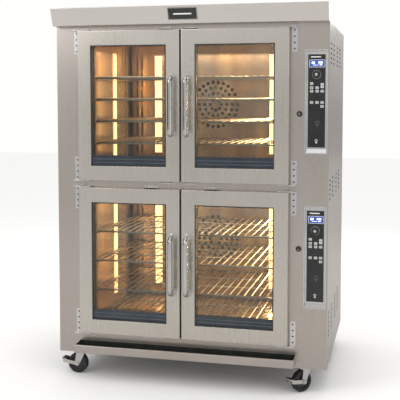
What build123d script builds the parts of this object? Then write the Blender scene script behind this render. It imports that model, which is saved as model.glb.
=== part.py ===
from build123d import *
from math import cos, radians, sin
import os

# Two-chamber convection bakery oven on casters, with a pair of glass doors to each chamber.
# Millimetres. +X is to the right of a person facing the doors, -Y is towards that person and
# +Z is up. The origin is on the floor, in the middle of the whole oven's width and depth.

os.makedirs("parts", exist_ok=True)

# ---------------------------------------------------------------- driving dimensions
WIDTH = 1260
BODY_DEPTH = 860
FRONT = -390                    # the front face's plane
BACK = FRONT + BODY_DEPTH
SKIRT = 108                     # lower edge of the outer panels
BODY_TOP = 1637
CANOPY_TOP = 1717
REAR_PROUD = 25                 # how far the motor covers stand behind the back panel
SHEET = 2                       # thickness of the sheet metal
SEAM = 0.4                      # clearance between neighbouring plates of one assembly
CLEAR = 0.3                     # clearance between parts that move past each other
SHAFT_FIT = 0.05                # radial clearance of a pin or shaft in its hole

LEFT, RIGHT = -WIDTH / 2, WIDTH / 2
IN_LEFT, IN_RIGHT = LEFT + SHEET, RIGHT - SHEET

DOOR_W, DOOR_H = 483, 683
DOOR_PROUD = 45                 # front of the doors ahead of the front face
DOOR_BEHIND = 5                 # gap behind the doors, which the seals fill
DOOR_GAP = 7                    # gap between the two doors of a pair
MEETING_X = -26
STILE, RAIL = 63.5, 67.5        # width of the door's upright and level members
DECKS = {"upper": 931, "lower": 214}        # lower edge of each deck's doors
DOOR_X = {
    "left": MEETING_X - DOOR_GAP / 2 - DOOR_W,
    "right": MEETING_X + DOOR_GAP / 2,
}
DOORS_LEFT = DOOR_X["left"]
DOORS_RIGHT = DOOR_X["right"] + DOOR_W
DOOR_MID_Y = FRONT - (DOOR_PROUD + DOOR_BEHIND) / 2

PIN_R = 5
PIN_INSET = 8                   # hinge pin from the door's outer edge
OPEN_INSET_X, OPEN_INSET_Z = 26, 24         # chamber mouth inside the doors' outline
MOUTH_LEFT, MOUTH_RIGHT = DOORS_LEFT + OPEN_INSET_X, DOORS_RIGHT - OPEN_INSET_X

CHAMBER_LEFT, CHAMBER_RIGHT = MOUTH_LEFT - 14, MOUTH_RIGHT + 16
CHAMBER_FLOOR, CHAMBER_ROOF = 19, 664       # above the deck's door edge
CHAMBER_MID_X = (CHAMBER_LEFT + CHAMBER_RIGHT) / 2
BAFFLE_Y = FRONT + 690
CHAMBER_BACK = FRONT + 770
INSULATION = 50

RACK_Z = {"upper": (996, 1099, 1203, 1306, 1409), "lower": (250, 391, 532, 673, 814)}
ROD_R, ROD_PITCH, ROD_COUNT = 2.5, 35, 26
RACK_FRONT, RACK_BACK = FRONT + 120, FRONT + 670
RACK_LEFT, RACK_RIGHT = MOUTH_LEFT + 3, MOUTH_RIGHT - 3
CROSSBAR_H, CROSSBAR_W, ROD_SEAT = 8, 5, 1

PANEL_LOW = {"upper": 1068, "lower": 384}   # lower edge of each control panel's bezel
PANEL_LEFT, PANEL_RIGHT, PANEL_H = 527, 620, 447
PANEL_MID = (PANEL_LEFT + PANEL_RIGHT) / 2
PANEL_RECESS = 12
OVERLAY_X, OVERLAY_Z = (536, 612), (25, 431)
DISPLAY_X, DISPLAY_Z = (541, 610), (374, 408)
KNOB_Z, KNOB_R, KNOB_SHAFT_R = 343, 20, 3
KEY_COLUMNS = (552, 576, 598)
KEYS = ((0, 304), (0, 286), (0, 271), (1, 286), (1, 271), (2, 304), (2, 286), (2, 271),
        (0, 222), (1, 222), (2, 222), (2, 200))    # column and height above the bezel
KEY_W, KEY_H, KEY_RISE = 14, 11, 0.8
SWITCH_X, SWITCH_Z = 502, {"upper": 1240, "lower": 645}

HANDLE_LENGTH, HANDLE_R, HANDLE_REACH = 280, 11, 60
HANDLE_BEND = 26
HANDLE_X = {
    "left": DOOR_X["left"] + DOOR_W - STILE / 2,
    "right": DOOR_X["right"] + STILE / 2,
}

TROUGH_LEFT, TROUGH_RIGHT = -528, 492
TROUGH_PROUD, TROUGH_LOW, TROUGH_LIP, TROUGH_BACK_TOP = 76, 126, 164, 170

WHEEL_R, WHEEL_HALF, AXLE_R, TRAIL = 48, 16, 5, 20
LEG_IN, LEG_T = 17.5, 3
SWIVEL_R, PLATE_TOP, RACE_LOW, FORK_TOP = 26, 128, 106, 105.5
KINGPIN_R = 7
# swivel centre and the way each caster trails at rest, in degrees from +X
CASTERS = {
    "front_left": (-530, FRONT + 32, 180),
    "front_right": (530, FRONT + 32, 227),
    "rear_left": (-530, BACK - 60, 115),
    "rear_right": (530, BACK - 60, 70),
}

FAN_R, FAN_LOW, FAN_HIGH = 140, FRONT + 700, FRONT + 752
FAN_SHAFT_R = 8
MOTOR_R = 65


# ---------------------------------------------------------------- small helpers
def slab(x, y, z, mode=Mode.ADD):
    """One plate, bar or block of the open part, from pairs of lowest and highest values."""
    with Locations(((x[0] + x[1]) / 2, (y[0] + y[1]) / 2, (z[0] + z[1]) / 2)):
        Box(x[1] - x[0], y[1] - y[0], z[1] - z[0], mode=mode)


def facing(y):
    """The plane at depth y whose sketch reads (x, z) and which grows towards the front."""
    return Plane.XZ.offset(-y)


def round_bar(x, z, radius, y, mode=Mode.ADD):
    """A round bar or hole along Y between the two depths in y."""
    with BuildSketch(facing(y[1])) as disc:
        with Locations((x, z)):
            Circle(radius)
    extrude(disc.sketch, amount=y[1] - y[0], mode=mode)


def upright_bar(x, y, radius, z, mode=Mode.ADD):
    """A round bar or hole along Z between the two heights in z."""
    with BuildSketch(Plane.XY.offset(z[0])) as disc:
        with Locations((x, y)):
            Circle(radius)
    extrude(disc.sketch, amount=z[1] - z[0], mode=mode)


def profile_along_x(points, x, mode=Mode.ADD):
    """A prism along X between the two values in x, from corners given as (y, z)."""
    with BuildSketch(Plane.YZ.offset(x[0])) as section:
        Polygon(*points, align=None)
    extrude(section.sketch, amount=x[1] - x[0], mode=mode)


def save(piece, name):
    """Labels a finished part with its node's name and writes it."""
    piece.part.label = name
    export_step(piece.part, f"parts/{name}.step")


# ---------------------------------------------------------------- base and outer panels
RAIL_W, RAIL_H = 40, 38
PAN_TOP = PLATE_TOP + SHEET
BRACKET_W, BRACKET_T, BRACKET_REACH = 40, 3, 60

with BuildPart() as base_frame:
    inner_y = (FRONT + SHEET + SEAM, BACK - SHEET - SEAM)
    slab((IN_LEFT + SEAM, IN_RIGHT - SEAM), inner_y, (PLATE_TOP, PAN_TOP))
    rail_z = (PAN_TOP + SEAM, PAN_TOP + RAIL_H)
    rail_x = (IN_LEFT + 8, IN_RIGHT - 8)
    for rail_y in (inner_y[0] + 6, (inner_y[0] + inner_y[1] - RAIL_W) / 2, inner_y[1] - 6 - RAIL_W):
        slab((rail_x[0] + RAIL_W + SEAM, rail_x[1] - RAIL_W - SEAM), (rail_y, rail_y + RAIL_W), rail_z)
    for side_x in (rail_x[0], rail_x[1] - RAIL_W):
        slab((side_x, side_x + RAIL_W), (inner_y[0] + 6, inner_y[1] - 6), rail_z)
    # angles that the drip trough rests on
    bracket_top = TROUGH_LOW - SEAM
    for bracket_x in (-420, -18, 384):
        span = (bracket_x - BRACKET_W / 2, bracket_x + BRACKET_W / 2)
        slab(span, (FRONT - BRACKET_T, FRONT), (SKIRT, bracket_top))
        shelf_y = (FRONT - BRACKET_REACH, FRONT - BRACKET_T - SEAM)
        slab(span, shelf_y, (bracket_top - BRACKET_T, bracket_top))
save(base_frame, "base_frame")

with BuildPart() as left_side_panel:
    slab((LEFT, IN_LEFT), (FRONT, BACK), (SKIRT, BODY_TOP))
save(left_side_panel, "left_side_panel")

VENT_COLUMNS = (83, 228, 432, 591)          # slot centres behind the front face
VENT_GROUPS = ((90, 5), (694, 5), (1290, 6))    # first row below the body's top, and rows
VENT_PITCH, VENT_LENGTH, VENT_HEIGHT = 21, 60, 9

with BuildPart() as right_side_panel:
    slab((IN_RIGHT, RIGHT), (FRONT, BACK), (SKIRT, BODY_TOP))
    with BuildSketch(Plane.YZ.offset(RIGHT)):
        for first, rows in VENT_GROUPS:
            for row in range(rows):
                row_z = BODY_TOP - first - row * VENT_PITCH
                with Locations(*[(FRONT + depth, row_z) for depth in VENT_COLUMNS]):
                    SlotOverall(VENT_LENGTH, VENT_HEIGHT)
    extrude(amount=-SHEET, mode=Mode.SUBTRACT)
save(right_side_panel, "right_side_panel")

CANOPY_FOOT, CANOPY_LEAN, CANOPY_REACH = 45, 76, 44     # proud at the foot and top, and behind

# the roof starts behind the canopy, whose floor covers what is left
with BuildPart() as roof_panel:
    roof_y = (FRONT + CANOPY_REACH + SEAM, BACK - SHEET)
    slab((IN_LEFT, IN_RIGHT), roof_y, (BODY_TOP - SHEET, BODY_TOP))
save(roof_panel, "roof_panel")

FAN_Z = {deck: low + (CHAMBER_FLOOR + CHAMBER_ROOF) / 2 for deck, low in DECKS.items()}
MOTOR_HOLE_R = 90

with BuildPart() as back_panel:
    slab((IN_LEFT, IN_RIGHT), (BACK - SHEET, BACK), (SKIRT, BODY_TOP - SHEET))
    for fan_z in FAN_Z.values():
        round_bar(CHAMBER_MID_X, fan_z, MOTOR_HOLE_R, (BACK - SHEET, BACK), Mode.SUBTRACT)
    with BuildSketch(facing(BACK)):
        for bay_z in (300, 900, 1450):
            with Locations((540, bay_z)):
                with GridLocations(0, VENT_PITCH, 1, 6):
                    SlotOverall(110, VENT_HEIGHT)
    extrude(amount=SHEET, mode=Mode.SUBTRACT)
save(back_panel, "back_panel")

# ---------------------------------------------------------------- front face
MOUTH_Z = {deck: (low + OPEN_INSET_Z, low + DOOR_H - OPEN_INSET_Z) for deck, low in DECKS.items()}
FACE_Y = (FRONT, FRONT + SHEET)

with BuildPart() as front_frame:
    face_x = (MOUTH_LEFT + SEAM, MOUTH_RIGHT - SEAM)
    slab((IN_LEFT, MOUTH_LEFT), FACE_Y, (SKIRT, BODY_TOP))
    slab(face_x, FACE_Y, (SKIRT, MOUTH_Z["lower"][0]))
    slab(face_x, FACE_Y, (MOUTH_Z["lower"][1], MOUTH_Z["upper"][0]))
    slab(face_x, FACE_Y, (MOUTH_Z["upper"][1], BODY_TOP))
save(front_frame, "front_frame")

BUSH_R, BUSH_BORE_R, NUT_R = 6, 5, 9

with BuildPart() as control_column:
    slab((MOUTH_RIGHT, IN_RIGHT), FACE_Y, (SKIRT, BODY_TOP))
    for panel_low in PANEL_LOW.values():
        slab((PANEL_LEFT, PANEL_RIGHT), FACE_Y, (panel_low, panel_low + PANEL_H), Mode.SUBTRACT)
    for switch_z in SWITCH_Z.values():
        round_bar(SWITCH_X, switch_z, BUSH_R, FACE_Y, Mode.SUBTRACT)
save(control_column, "control_column")

with BuildPart() as front_canopy:
    foot = (FRONT - CANOPY_FOOT, BODY_TOP)
    brow = (FRONT - CANOPY_LEAN, CANOPY_TOP)
    rear = FRONT + CANOPY_REACH
    inside_x = (IN_LEFT + SEAM, IN_RIGHT - SEAM)
    face = (foot, (foot[0] + SHEET, foot[1]), (brow[0] + SHEET, brow[1]), brow)
    profile_along_x(face, inside_x)
    slab(inside_x, (foot[0] + SHEET + SEAM, rear), (BODY_TOP, BODY_TOP + SHEET))
    slab(inside_x, (rear - SHEET, rear), (BODY_TOP + SHEET + SEAM, CANOPY_TOP))
    cheek = (foot, (rear, BODY_TOP), (rear, CANOPY_TOP), brow)
    for cheek_x in ((LEFT, IN_LEFT), (IN_RIGHT, RIGHT)):
        profile_along_x(cheek, cheek_x)
save(front_canopy, "front_canopy")

NAME_X, NAME_Z, NAME_T = (-78, 57), (1654, 1707), 2

with BuildPart() as nameplate:
    lean = (CANOPY_LEAN - CANOPY_FOOT) / (CANOPY_TOP - BODY_TOP)
    plate = [(FRONT - CANOPY_FOOT - lean * (z - BODY_TOP), z) for z in NAME_Z]
    plate += [(y - NAME_T, z) for y, z in reversed(plate)]
    profile_along_x(plate, NAME_X)
save(nameplate, "nameplate")

# ---------------------------------------------------------------- chambers
with BuildPart() as chamber_liners:
    liner_y = (FRONT + SHEET + SEAM, CHAMBER_BACK)
    for deck, low in DECKS.items():
        floor, roof = low + CHAMBER_FLOOR, low + CHAMBER_ROOF
        wall_z = (floor - SHEET, roof + SHEET)
        across = (CHAMBER_LEFT + SEAM, CHAMBER_RIGHT - SEAM)
        slab((CHAMBER_LEFT - SHEET, CHAMBER_LEFT), liner_y, wall_z)
        slab((CHAMBER_RIGHT, CHAMBER_RIGHT + SHEET), liner_y, wall_z)
        slab(across, liner_y, (floor - SHEET, floor))
        slab(across, liner_y, (roof, roof + SHEET))
        back_x = (CHAMBER_LEFT - SHEET, CHAMBER_RIGHT + SHEET)
        back_y = (CHAMBER_BACK + SEAM, CHAMBER_BACK + SEAM + SHEET)
        slab(back_x, back_y, wall_z)
        round_bar(CHAMBER_MID_X, FAN_Z[deck], FAN_SHAFT_R + 4, back_y, Mode.SUBTRACT)
save(chamber_liners, "chamber_liners")

LINER_OUT = SHEET + 1           # from the chamber's inside to the wool
THIN_WOOL = 35                  # beside the control bay
MOTOR_WELL_R = 145

with BuildPart() as insulation:
    wool_y = (FRONT + SHEET + 1, CHAMBER_BACK)
    wool_left = CHAMBER_LEFT - LINER_OUT
    wool_right = CHAMBER_RIGHT + LINER_OUT
    lows = [low + CHAMBER_FLOOR - LINER_OUT for low in DECKS.values()]
    highs = [low + CHAMBER_ROOF + LINER_OUT for low in DECKS.values()]
    full_z = (min(lows) - INSULATION, BODY_TOP - SHEET - 1)
    slab((wool_left - INSULATION, wool_left), wool_y, full_z)
    slab((wool_right, wool_right + THIN_WOOL), wool_y, full_z)
    between_x = (wool_left + SEAM, wool_right - SEAM)
    slab(between_x, wool_y, (full_z[0], min(lows)))
    slab(between_x, wool_y, (min(highs), max(lows)))
    slab(between_x, wool_y, (max(highs), full_z[1]))
    rear_y = (CHAMBER_BACK + LINER_OUT, CHAMBER_BACK + LINER_OUT + INSULATION)
    slab((wool_left, wool_right), rear_y, full_z)
    for fan_z in FAN_Z.values():
        round_bar(CHAMBER_MID_X, fan_z, MOTOR_WELL_R, rear_y, Mode.SUBTRACT)
save(insulation, "insulation")

POST_T, POST_W, RUNNER_W, RUNNER_T = 4, 20, 24, 3
RACK_DROP = ROD_R + CROSSBAR_H - ROD_SEAT   # from a rod's centre to the crossbars' underside

with BuildPart() as rack_guides:
    for deck, low in DECKS.items():
        post_z = (low + CHAMBER_FLOOR + 1, low + CHAMBER_ROOF - 1)
        for wall_x, inward in ((CHAMBER_LEFT, 1), (CHAMBER_RIGHT, -1)):
            post_x = sorted((wall_x, wall_x + inward * POST_T))
            near = wall_x + inward * (POST_T + SEAM)
            runner_x = sorted((near, near + inward * RUNNER_W))
            for post_y in (RACK_FRONT + 15, RACK_BACK - 60):
                slab(post_x, (post_y, post_y + POST_W), post_z)
            for rack_z in RACK_Z[deck]:
                runner_top = rack_z - RACK_DROP
                runner_z = (runner_top - RUNNER_T, runner_top)
                slab(runner_x, (RACK_FRONT - 8, RACK_BACK + 6), runner_z)
save(rack_guides, "rack_guides")

with BuildPart() as wire_rack:
    first_x = CHAMBER_MID_X - ROD_PITCH * (ROD_COUNT - 1) / 2
    rod_y = (RACK_FRONT + RACK_BACK) / 2
    with Locations(*[(first_x + ROD_PITCH * n, rod_y, 0) for n in range(ROD_COUNT)]):
        Cylinder(ROD_R, RACK_BACK - RACK_FRONT, rotation=(90, 0, 0))
    span_y = RACK_BACK - RACK_FRONT - 2 * CROSSBAR_W
    for share in (0, 1 / 3, 2 / 3, 1):
        bar_y = RACK_FRONT + CROSSBAR_W / 2 + share * span_y
        slab((RACK_LEFT, RACK_RIGHT), (bar_y, bar_y + CROSSBAR_W), (-RACK_DROP, ROD_SEAT - ROD_R))

for deck in DECKS:
    with BuildPart() as racks:
        with Locations(*[(0, 0, rack_z) for rack_z in RACK_Z[deck]]):
            add(wire_rack.part)
    save(racks, f"{deck}_racks")

BAFFLE_T, INTAKE_RINGS = 2, ((30, 8), (60, 14), (90, 20), (118, 26))    # radius and slots

with BuildPart() as air_baffles:
    for deck, low in DECKS.items():
        baffle_z = (low + CHAMBER_FLOOR + 2, low + CHAMBER_ROOF - 2)
        baffle_x = (CHAMBER_LEFT + 12, CHAMBER_RIGHT - 12)
        slab(baffle_x, (BAFFLE_Y, BAFFLE_Y + BAFFLE_T), baffle_z)
        with BuildSketch(facing(BAFFLE_Y + BAFFLE_T)):
            with Locations((CHAMBER_MID_X, FAN_Z[deck])):
                for ring_r, slots in INTAKE_RINGS:
                    with PolarLocations(ring_r, slots):
                        Circle(9)
            with Locations((baffle_x[0] + 42, FAN_Z[deck]), (baffle_x[1] - 42, FAN_Z[deck])):
                with GridLocations(26, 88, 2, 6):
                    SlotOverall(70, 10, rotation=90)
        extrude(amount=BAFFLE_T, mode=Mode.SUBTRACT)
        # returns that hold the baffle off the back wall
        for edge_x in (baffle_x[0], baffle_x[1] - BAFFLE_T):
            slab((edge_x, edge_x + BAFFLE_T), (BAFFLE_Y + BAFFLE_T + SEAM, CHAMBER_BACK), baffle_z)
save(air_baffles, "air_baffles")

ELEMENT_R, ELEMENT_TUBE_R = 168, 4

with BuildPart() as heating_elements:
    for fan_z in FAN_Z.values():
        for ring_y, lead_angle in ((FAN_LOW + 8, 20), (FAN_LOW + 40, 70)):
            with Locations((CHAMBER_MID_X, ring_y, fan_z)):
                Torus(ELEMENT_R, ELEMENT_TUBE_R, rotation=(90, 0, 0))
            lead_x = CHAMBER_MID_X + ELEMENT_R * cos(radians(lead_angle))
            lead_z = fan_z + ELEMENT_R * sin(radians(lead_angle))
            round_bar(lead_x, lead_z, ELEMENT_TUBE_R + 1, (ring_y, CHAMBER_BACK))
save(heating_elements, "heating_elements")

LAMP_X = (CHAMBER_LEFT + 165, CHAMBER_RIGHT - 165)
LAMP_W, LAMP_H, LAMP_DEEP = 44, 520, 18
WALL_LAMP_Y, WALL_LAMP_T = (FRONT + 415, FRONT + 455), 3.5

with BuildPart() as lamp_housings:
    for fan_z in FAN_Z.values():
        for lamp_x in LAMP_X:
            slab((lamp_x - LAMP_W / 2, lamp_x + LAMP_W / 2), (BAFFLE_Y - LAMP_DEEP, BAFFLE_Y),
                 (fan_z - LAMP_H / 2, fan_z + LAMP_H / 2))
            slab((lamp_x - LAMP_W / 2 + 3, lamp_x + LAMP_W / 2 - 3),
                 (BAFFLE_Y - LAMP_DEEP, BAFFLE_Y - 4),
                 (fan_z - LAMP_H / 2 + 3, fan_z + LAMP_H / 2 - 3), Mode.SUBTRACT)
save(lamp_housings, "lamp_housings")

with BuildPart() as lamp_lenses:
    for fan_z in FAN_Z.values():
        for lamp_x in LAMP_X:
            slab((lamp_x - LAMP_W / 2 + 3.2, lamp_x + LAMP_W / 2 - 3.2),
                 (BAFFLE_Y - LAMP_DEEP, BAFFLE_Y - LAMP_DEEP + 4),
                 (fan_z - LAMP_H / 2 + 3.2, fan_z + LAMP_H / 2 - 3.2))
            upright_bar(lamp_x, BAFFLE_Y - 9.3, 4.5, (fan_z - LAMP_H / 2 + 8, fan_z + LAMP_H / 2 - 8))
        # flat lamps on the side walls, behind the rack runners
        for lamp_left in (CHAMBER_LEFT, CHAMBER_RIGHT - WALL_LAMP_T):
            slab((lamp_left, lamp_left + WALL_LAMP_T), WALL_LAMP_Y, (fan_z - LAMP_H / 2, fan_z + LAMP_H / 2))
save(lamp_lenses, "lamp_lenses")

# ---------------------------------------------------------------- fans
with BuildPart() as fan_motors:
    mount_y = (CHAMBER_BACK + SEAM + SHEET, CHAMBER_BACK + 8)
    for fan_z in FAN_Z.values():
        slab((CHAMBER_MID_X - 100, CHAMBER_MID_X + 100), mount_y, (fan_z - 100, fan_z + 100))
        round_bar(CHAMBER_MID_X, fan_z, MOTOR_R, (mount_y[1], BACK + 10))
        round_bar(CHAMBER_MID_X, fan_z, 20, (BACK + 10, BACK + 16))
        bore_y = (mount_y[0], mount_y[1] + 30)
        round_bar(CHAMBER_MID_X, fan_z, FAN_SHAFT_R + SHAFT_FIT, bore_y, Mode.SUBTRACT)
save(fan_motors, "fan_motors")

HUB_R, BLADES, BLADE_LENGTH, BLADE_T = 24, 12, 48, 2

for deck, fan_z in FAN_Z.items():
    with BuildPart() as impeller:
        round_bar(CHAMBER_MID_X, fan_z, FAN_R, (FAN_HIGH - 3, FAN_HIGH))
        round_bar(CHAMBER_MID_X, fan_z, HUB_R, (FAN_LOW + 12, FAN_HIGH + 10))
        round_bar(CHAMBER_MID_X, fan_z, FAN_SHAFT_R, (FAN_HIGH, mount_y[1] + 28))
        with BuildSketch(facing(FAN_HIGH - 3)):
            with Locations((CHAMBER_MID_X, fan_z)):
                with PolarLocations(FAN_R - BLADE_LENGTH / 2 - 1, BLADES):
                    Rectangle(BLADE_LENGTH, BLADE_T)
        extrude(amount=FAN_HIGH - 3 - FAN_LOW)
    save(impeller, f"{deck}_fan_impeller")

COVER_HALF = 140

with BuildPart() as motor_covers:
    for fan_z in FAN_Z.values():
        box_x = (CHAMBER_MID_X - COVER_HALF, CHAMBER_MID_X + COVER_HALF)
        box_z = (fan_z - COVER_HALF, fan_z + COVER_HALF)
        slab(box_x, (BACK, BACK + REAR_PROUD), box_z)
        slab((box_x[0] + SHEET, box_x[1] - SHEET), (BACK, BACK + REAR_PROUD - SHEET),
             (box_z[0] + SHEET, box_z[1] - SHEET), Mode.SUBTRACT)
        with BuildSketch(facing(BACK + REAR_PROUD)):
            with Locations((CHAMBER_MID_X, fan_z)):
                with GridLocations(110, 24, 2, 7):
                    SlotOverall(90, VENT_HEIGHT)
        extrude(amount=SHEET, mode=Mode.SUBTRACT)
save(motor_covers, "motor_covers")

# ---------------------------------------------------------------- seals, hinges and catches
SEAL_W = 9                      # narrow enough to stay clear of the doors' swinging back edges

with BuildPart() as door_seals:
    seal_y = (FRONT - DOOR_BEHIND + CLEAR, FRONT)
    for mouth_z in MOUTH_Z.values():
        low_z, high_z = mouth_z[0] - SEAL_W - 1, mouth_z[1] + SEAL_W + 1
        left_x, right_x = MOUTH_LEFT - SEAL_W - 1, MOUTH_RIGHT + SEAL_W + 1
        for strip_x in (left_x, right_x - SEAL_W):
            slab((strip_x, strip_x + SEAL_W), seal_y, (low_z, high_z))
        for strip_z in (low_z, high_z - SEAL_W):
            level_x = (left_x + SEAL_W + SEAM, right_x - SEAL_W - SEAM)
            slab(level_x, seal_y, (strip_z, strip_z + SEAL_W))
save(door_seals, "door_seals")

LEAF_W, LEAF_H, LEAF_T, LEAF_OFF = 25, 110, 3, 6
ARM_T, ARM_REACH, ARM_OVER, ARM_GAP = 4, 40, 55, 1
PIN_Y = DOOR_MID_Y


def hinge_ends():
    """Each hinge as (outward X direction, door's outer edge, door's level edge, up or down)."""
    for low in DECKS.values():
        for outward, edge_x in ((-1, DOORS_LEFT), (1, DOORS_RIGHT)):
            yield outward, edge_x, low + DOOR_H, 1
            yield outward, edge_x, low, -1


with BuildPart() as door_hinges:
    for outward, edge_x, edge_z, up in hinge_ends():
        leaf_x = sorted((edge_x + outward * LEAF_OFF, edge_x + outward * (LEAF_OFF + LEAF_W)))
        arm_z = sorted((edge_z + up * ARM_GAP, edge_z + up * (ARM_GAP + ARM_T)))
        leaf_end = edge_z + up * (ARM_GAP + ARM_T)
        leaf_z = sorted((leaf_end, leaf_end - up * LEAF_H))
        slab(leaf_x, (FRONT - LEAF_T, FRONT), leaf_z)
        arm_x = sorted((edge_x + outward * (LEAF_OFF + LEAF_W), edge_x - outward * ARM_OVER))
        slab(arm_x, (FRONT - ARM_REACH, FRONT - LEAF_T), arm_z)
        pin_x = edge_x - outward * PIN_INSET
        upright_bar(pin_x, PIN_Y, PIN_R + SHAFT_FIT, arm_z, Mode.SUBTRACT)
save(door_hinges, "door_hinges")

CATCH_W, CATCH_H, CATCH_REACH = 68, 12, 24
# the middles of the left and right catch, by the door edge that each pair holds
CATCHES = {
    DECKS["upper"] + DOOR_H: (1, (-95, 15)),
    DECKS["upper"]: (-1, (-95, 12)),
    DECKS["lower"] + DOOR_H: (1, (-170, 112)),
    DECKS["lower"]: (-1, (-78, 10)),
}

with BuildPart() as catch_plates:
    for edge_z, (up, middles) in CATCHES.items():
        leaf_z = sorted((edge_z + up * ARM_GAP, edge_z + up * (ARM_GAP + CATCH_H)))
        lip_z = sorted((edge_z + up * ARM_GAP, edge_z + up * (ARM_GAP + LEAF_T)))
        for middle in middles:
            catch_x = (middle - CATCH_W / 2, middle + CATCH_W / 2)
            slab(catch_x, (FRONT - LEAF_T, FRONT), leaf_z)
            slab(catch_x, (FRONT - CATCH_REACH, FRONT - LEAF_T - SEAM), lip_z)
save(catch_plates, "catch_plates")

SCREW_R, SCREW_RISE = 3.6, 2

with BuildPart() as screws:
    for outward, edge_x, edge_z, up in hinge_ends():
        screw_x = edge_x + outward * (LEAF_OFF + LEAF_W / 2)
        for step in range(4):
            screw_z = edge_z - up * (10 + step * 27)
            head_y = (FRONT - LEAF_T - SCREW_RISE, FRONT - LEAF_T)
            round_bar(screw_x, screw_z, SCREW_R, head_y)
    for row_z in (SKIRT + 25, 560, 900, 1275, BODY_TOP - 25):
        for screw_x in (IN_LEFT + 25, -260, 210, IN_RIGHT - 25):
            round_bar(screw_x, row_z, 5, (BACK, BACK + SCREW_RISE + 1))
    for fan_z in FAN_Z.values():
        for screw_x in (CHAMBER_MID_X - COVER_HALF + 14, CHAMBER_MID_X + COVER_HALF - 14):
            for screw_z in (fan_z - COVER_HALF + 14, fan_z + COVER_HALF - 14):
                head_y = (BACK + REAR_PROUD - SHEET - 1, BACK + REAR_PROUD - SHEET)
                round_bar(screw_x, screw_z, 5, head_y)
save(screws, "screws")

# ---------------------------------------------------------------- doors
SKIN = 2
PANE_FIT = 0.3
DOOR_Y = (FRONT - DOOR_PROUD, FRONT - DOOR_BEHIND)
PAN_BACK = DOOR_Y[1] - SKIN - SEAM
PIN_BOSS = 18


def door_member(x, z):
    """A folded rail or stile, open at the back, and the flat plate that closes it."""
    slab(x, (DOOR_Y[0], PAN_BACK), z)
    slab((x[0] + SKIN, x[1] - SKIN), (DOOR_Y[0] + SKIN, PAN_BACK), (z[0] + SKIN, z[1] - SKIN),
         Mode.SUBTRACT)
    slab(x, (PAN_BACK + SEAM, DOOR_Y[1]), z)


for deck, low in DECKS.items():
    door_z = (low, low + DOOR_H)
    for side, door_x in DOOR_X.items():
        name = f"{deck}_{side}_door"
        window_x = (door_x + STILE, door_x + DOOR_W - STILE)
        window_z = (low + RAIL, low + DOOR_H - RAIL)
        pin_x = door_x + PIN_INSET if side == "left" else door_x + DOOR_W - PIN_INSET

        with BuildPart() as door_frame:
            for stile_x in ((door_x, window_x[0]), (window_x[1], door_x + DOOR_W)):
                door_member(stile_x, door_z)
            rail_x = (window_x[0] + SEAM, window_x[1] - SEAM)
            for rail_z in ((door_z[0], window_z[0]), (window_z[1], door_z[1])):
                door_member(rail_x, rail_z)
            pin_stand = ARM_GAP + ARM_T + 3
            for end_z in ((door_z[0] - pin_stand, door_z[0] + PIN_BOSS),
                          (door_z[1] - PIN_BOSS, door_z[1] + pin_stand)):
                upright_bar(pin_x, PIN_Y, PIN_R, end_z)
        save(door_frame, name)

        with BuildPart() as door_glass:
            pane_x = (window_x[0] + PANE_FIT, window_x[1] - PANE_FIT)
            pane_z = (window_z[0] + PANE_FIT, window_z[1] - PANE_FIT)
            slab(pane_x, (DOOR_Y[0] + 3, DOOR_Y[0] + 8), pane_z)
            slab(pane_x, (DOOR_Y[1] - 7, DOOR_Y[1] - 3), pane_z)
        save(door_glass, f"{name}_glass")

        with BuildPart() as door_handle:
            grip_y = DOOR_Y[0] - HANDLE_REACH + HANDLE_R
            middle_z = low + DOOR_H / 2
            ends = [middle_z - HANDLE_LENGTH / 2 + HANDLE_R, middle_z + HANDLE_LENGTH / 2 - HANDLE_R]
            handle_x = HANDLE_X[side]
            with BuildLine() as grip_path:
                FilletPolyline(
                    (handle_x, DOOR_Y[0], ends[0]),
                    (handle_x, grip_y, ends[0]),
                    (handle_x, grip_y, ends[1]),
                    (handle_x, DOOR_Y[0], ends[1]),
                    radius=HANDLE_BEND,
                )
            with BuildSketch(facing(DOOR_Y[0])):
                with Locations((handle_x, ends[0])):
                    Circle(HANDLE_R)
            sweep(path=grip_path.line)
            for end_z in ends:
                round_bar(handle_x, end_z, HANDLE_R + 4, (DOOR_Y[0] - 6, DOOR_Y[0]))
        save(door_handle, f"{name}_handle")

# ---------------------------------------------------------------- control panels
with BuildPart() as control_bezels:
    for panel_low in PANEL_LOW.values():
        top = panel_low + PANEL_H
        plate_y = (FRONT + PANEL_RECESS, FRONT + PANEL_RECESS + SHEET)
        wall_y = (FRONT, plate_y[0] - SEAM)
        slab((PANEL_LEFT, PANEL_RIGHT), plate_y, (panel_low, top))
        hole_y = (plate_y[0], plate_y[1])
        knob_z = panel_low + KNOB_Z
        round_bar(PANEL_MID, knob_z, KNOB_SHAFT_R + 1, hole_y, Mode.SUBTRACT)
        sill = 18
        for wall_x in (PANEL_LEFT, PANEL_RIGHT - SHEET):
            slab((wall_x, wall_x + SHEET), wall_y, (panel_low + sill + SEAM, top))
        between = (PANEL_LEFT + SHEET + SEAM, PANEL_RIGHT - SHEET - SEAM)
        slab(between, wall_y, (top - SHEET, top))
        slope = ((wall_y[0], panel_low), (wall_y[1], panel_low), (wall_y[1], panel_low + sill))
        profile_along_x(slope, (PANEL_LEFT, PANEL_RIGHT))
save(control_bezels, "control_bezels")

OVERLAY_Y = (FRONT + PANEL_RECESS - 1, FRONT + PANEL_RECESS)

with BuildPart() as control_overlays:
    for panel_low in PANEL_LOW.values():
        slab(OVERLAY_X, OVERLAY_Y, (panel_low + OVERLAY_Z[0], panel_low + OVERLAY_Z[1]))
        knob_z = panel_low + KNOB_Z
        round_bar(PANEL_MID, knob_z, KNOB_SHAFT_R + SHAFT_FIT, OVERLAY_Y, Mode.SUBTRACT)
save(control_overlays, "control_overlays")

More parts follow.
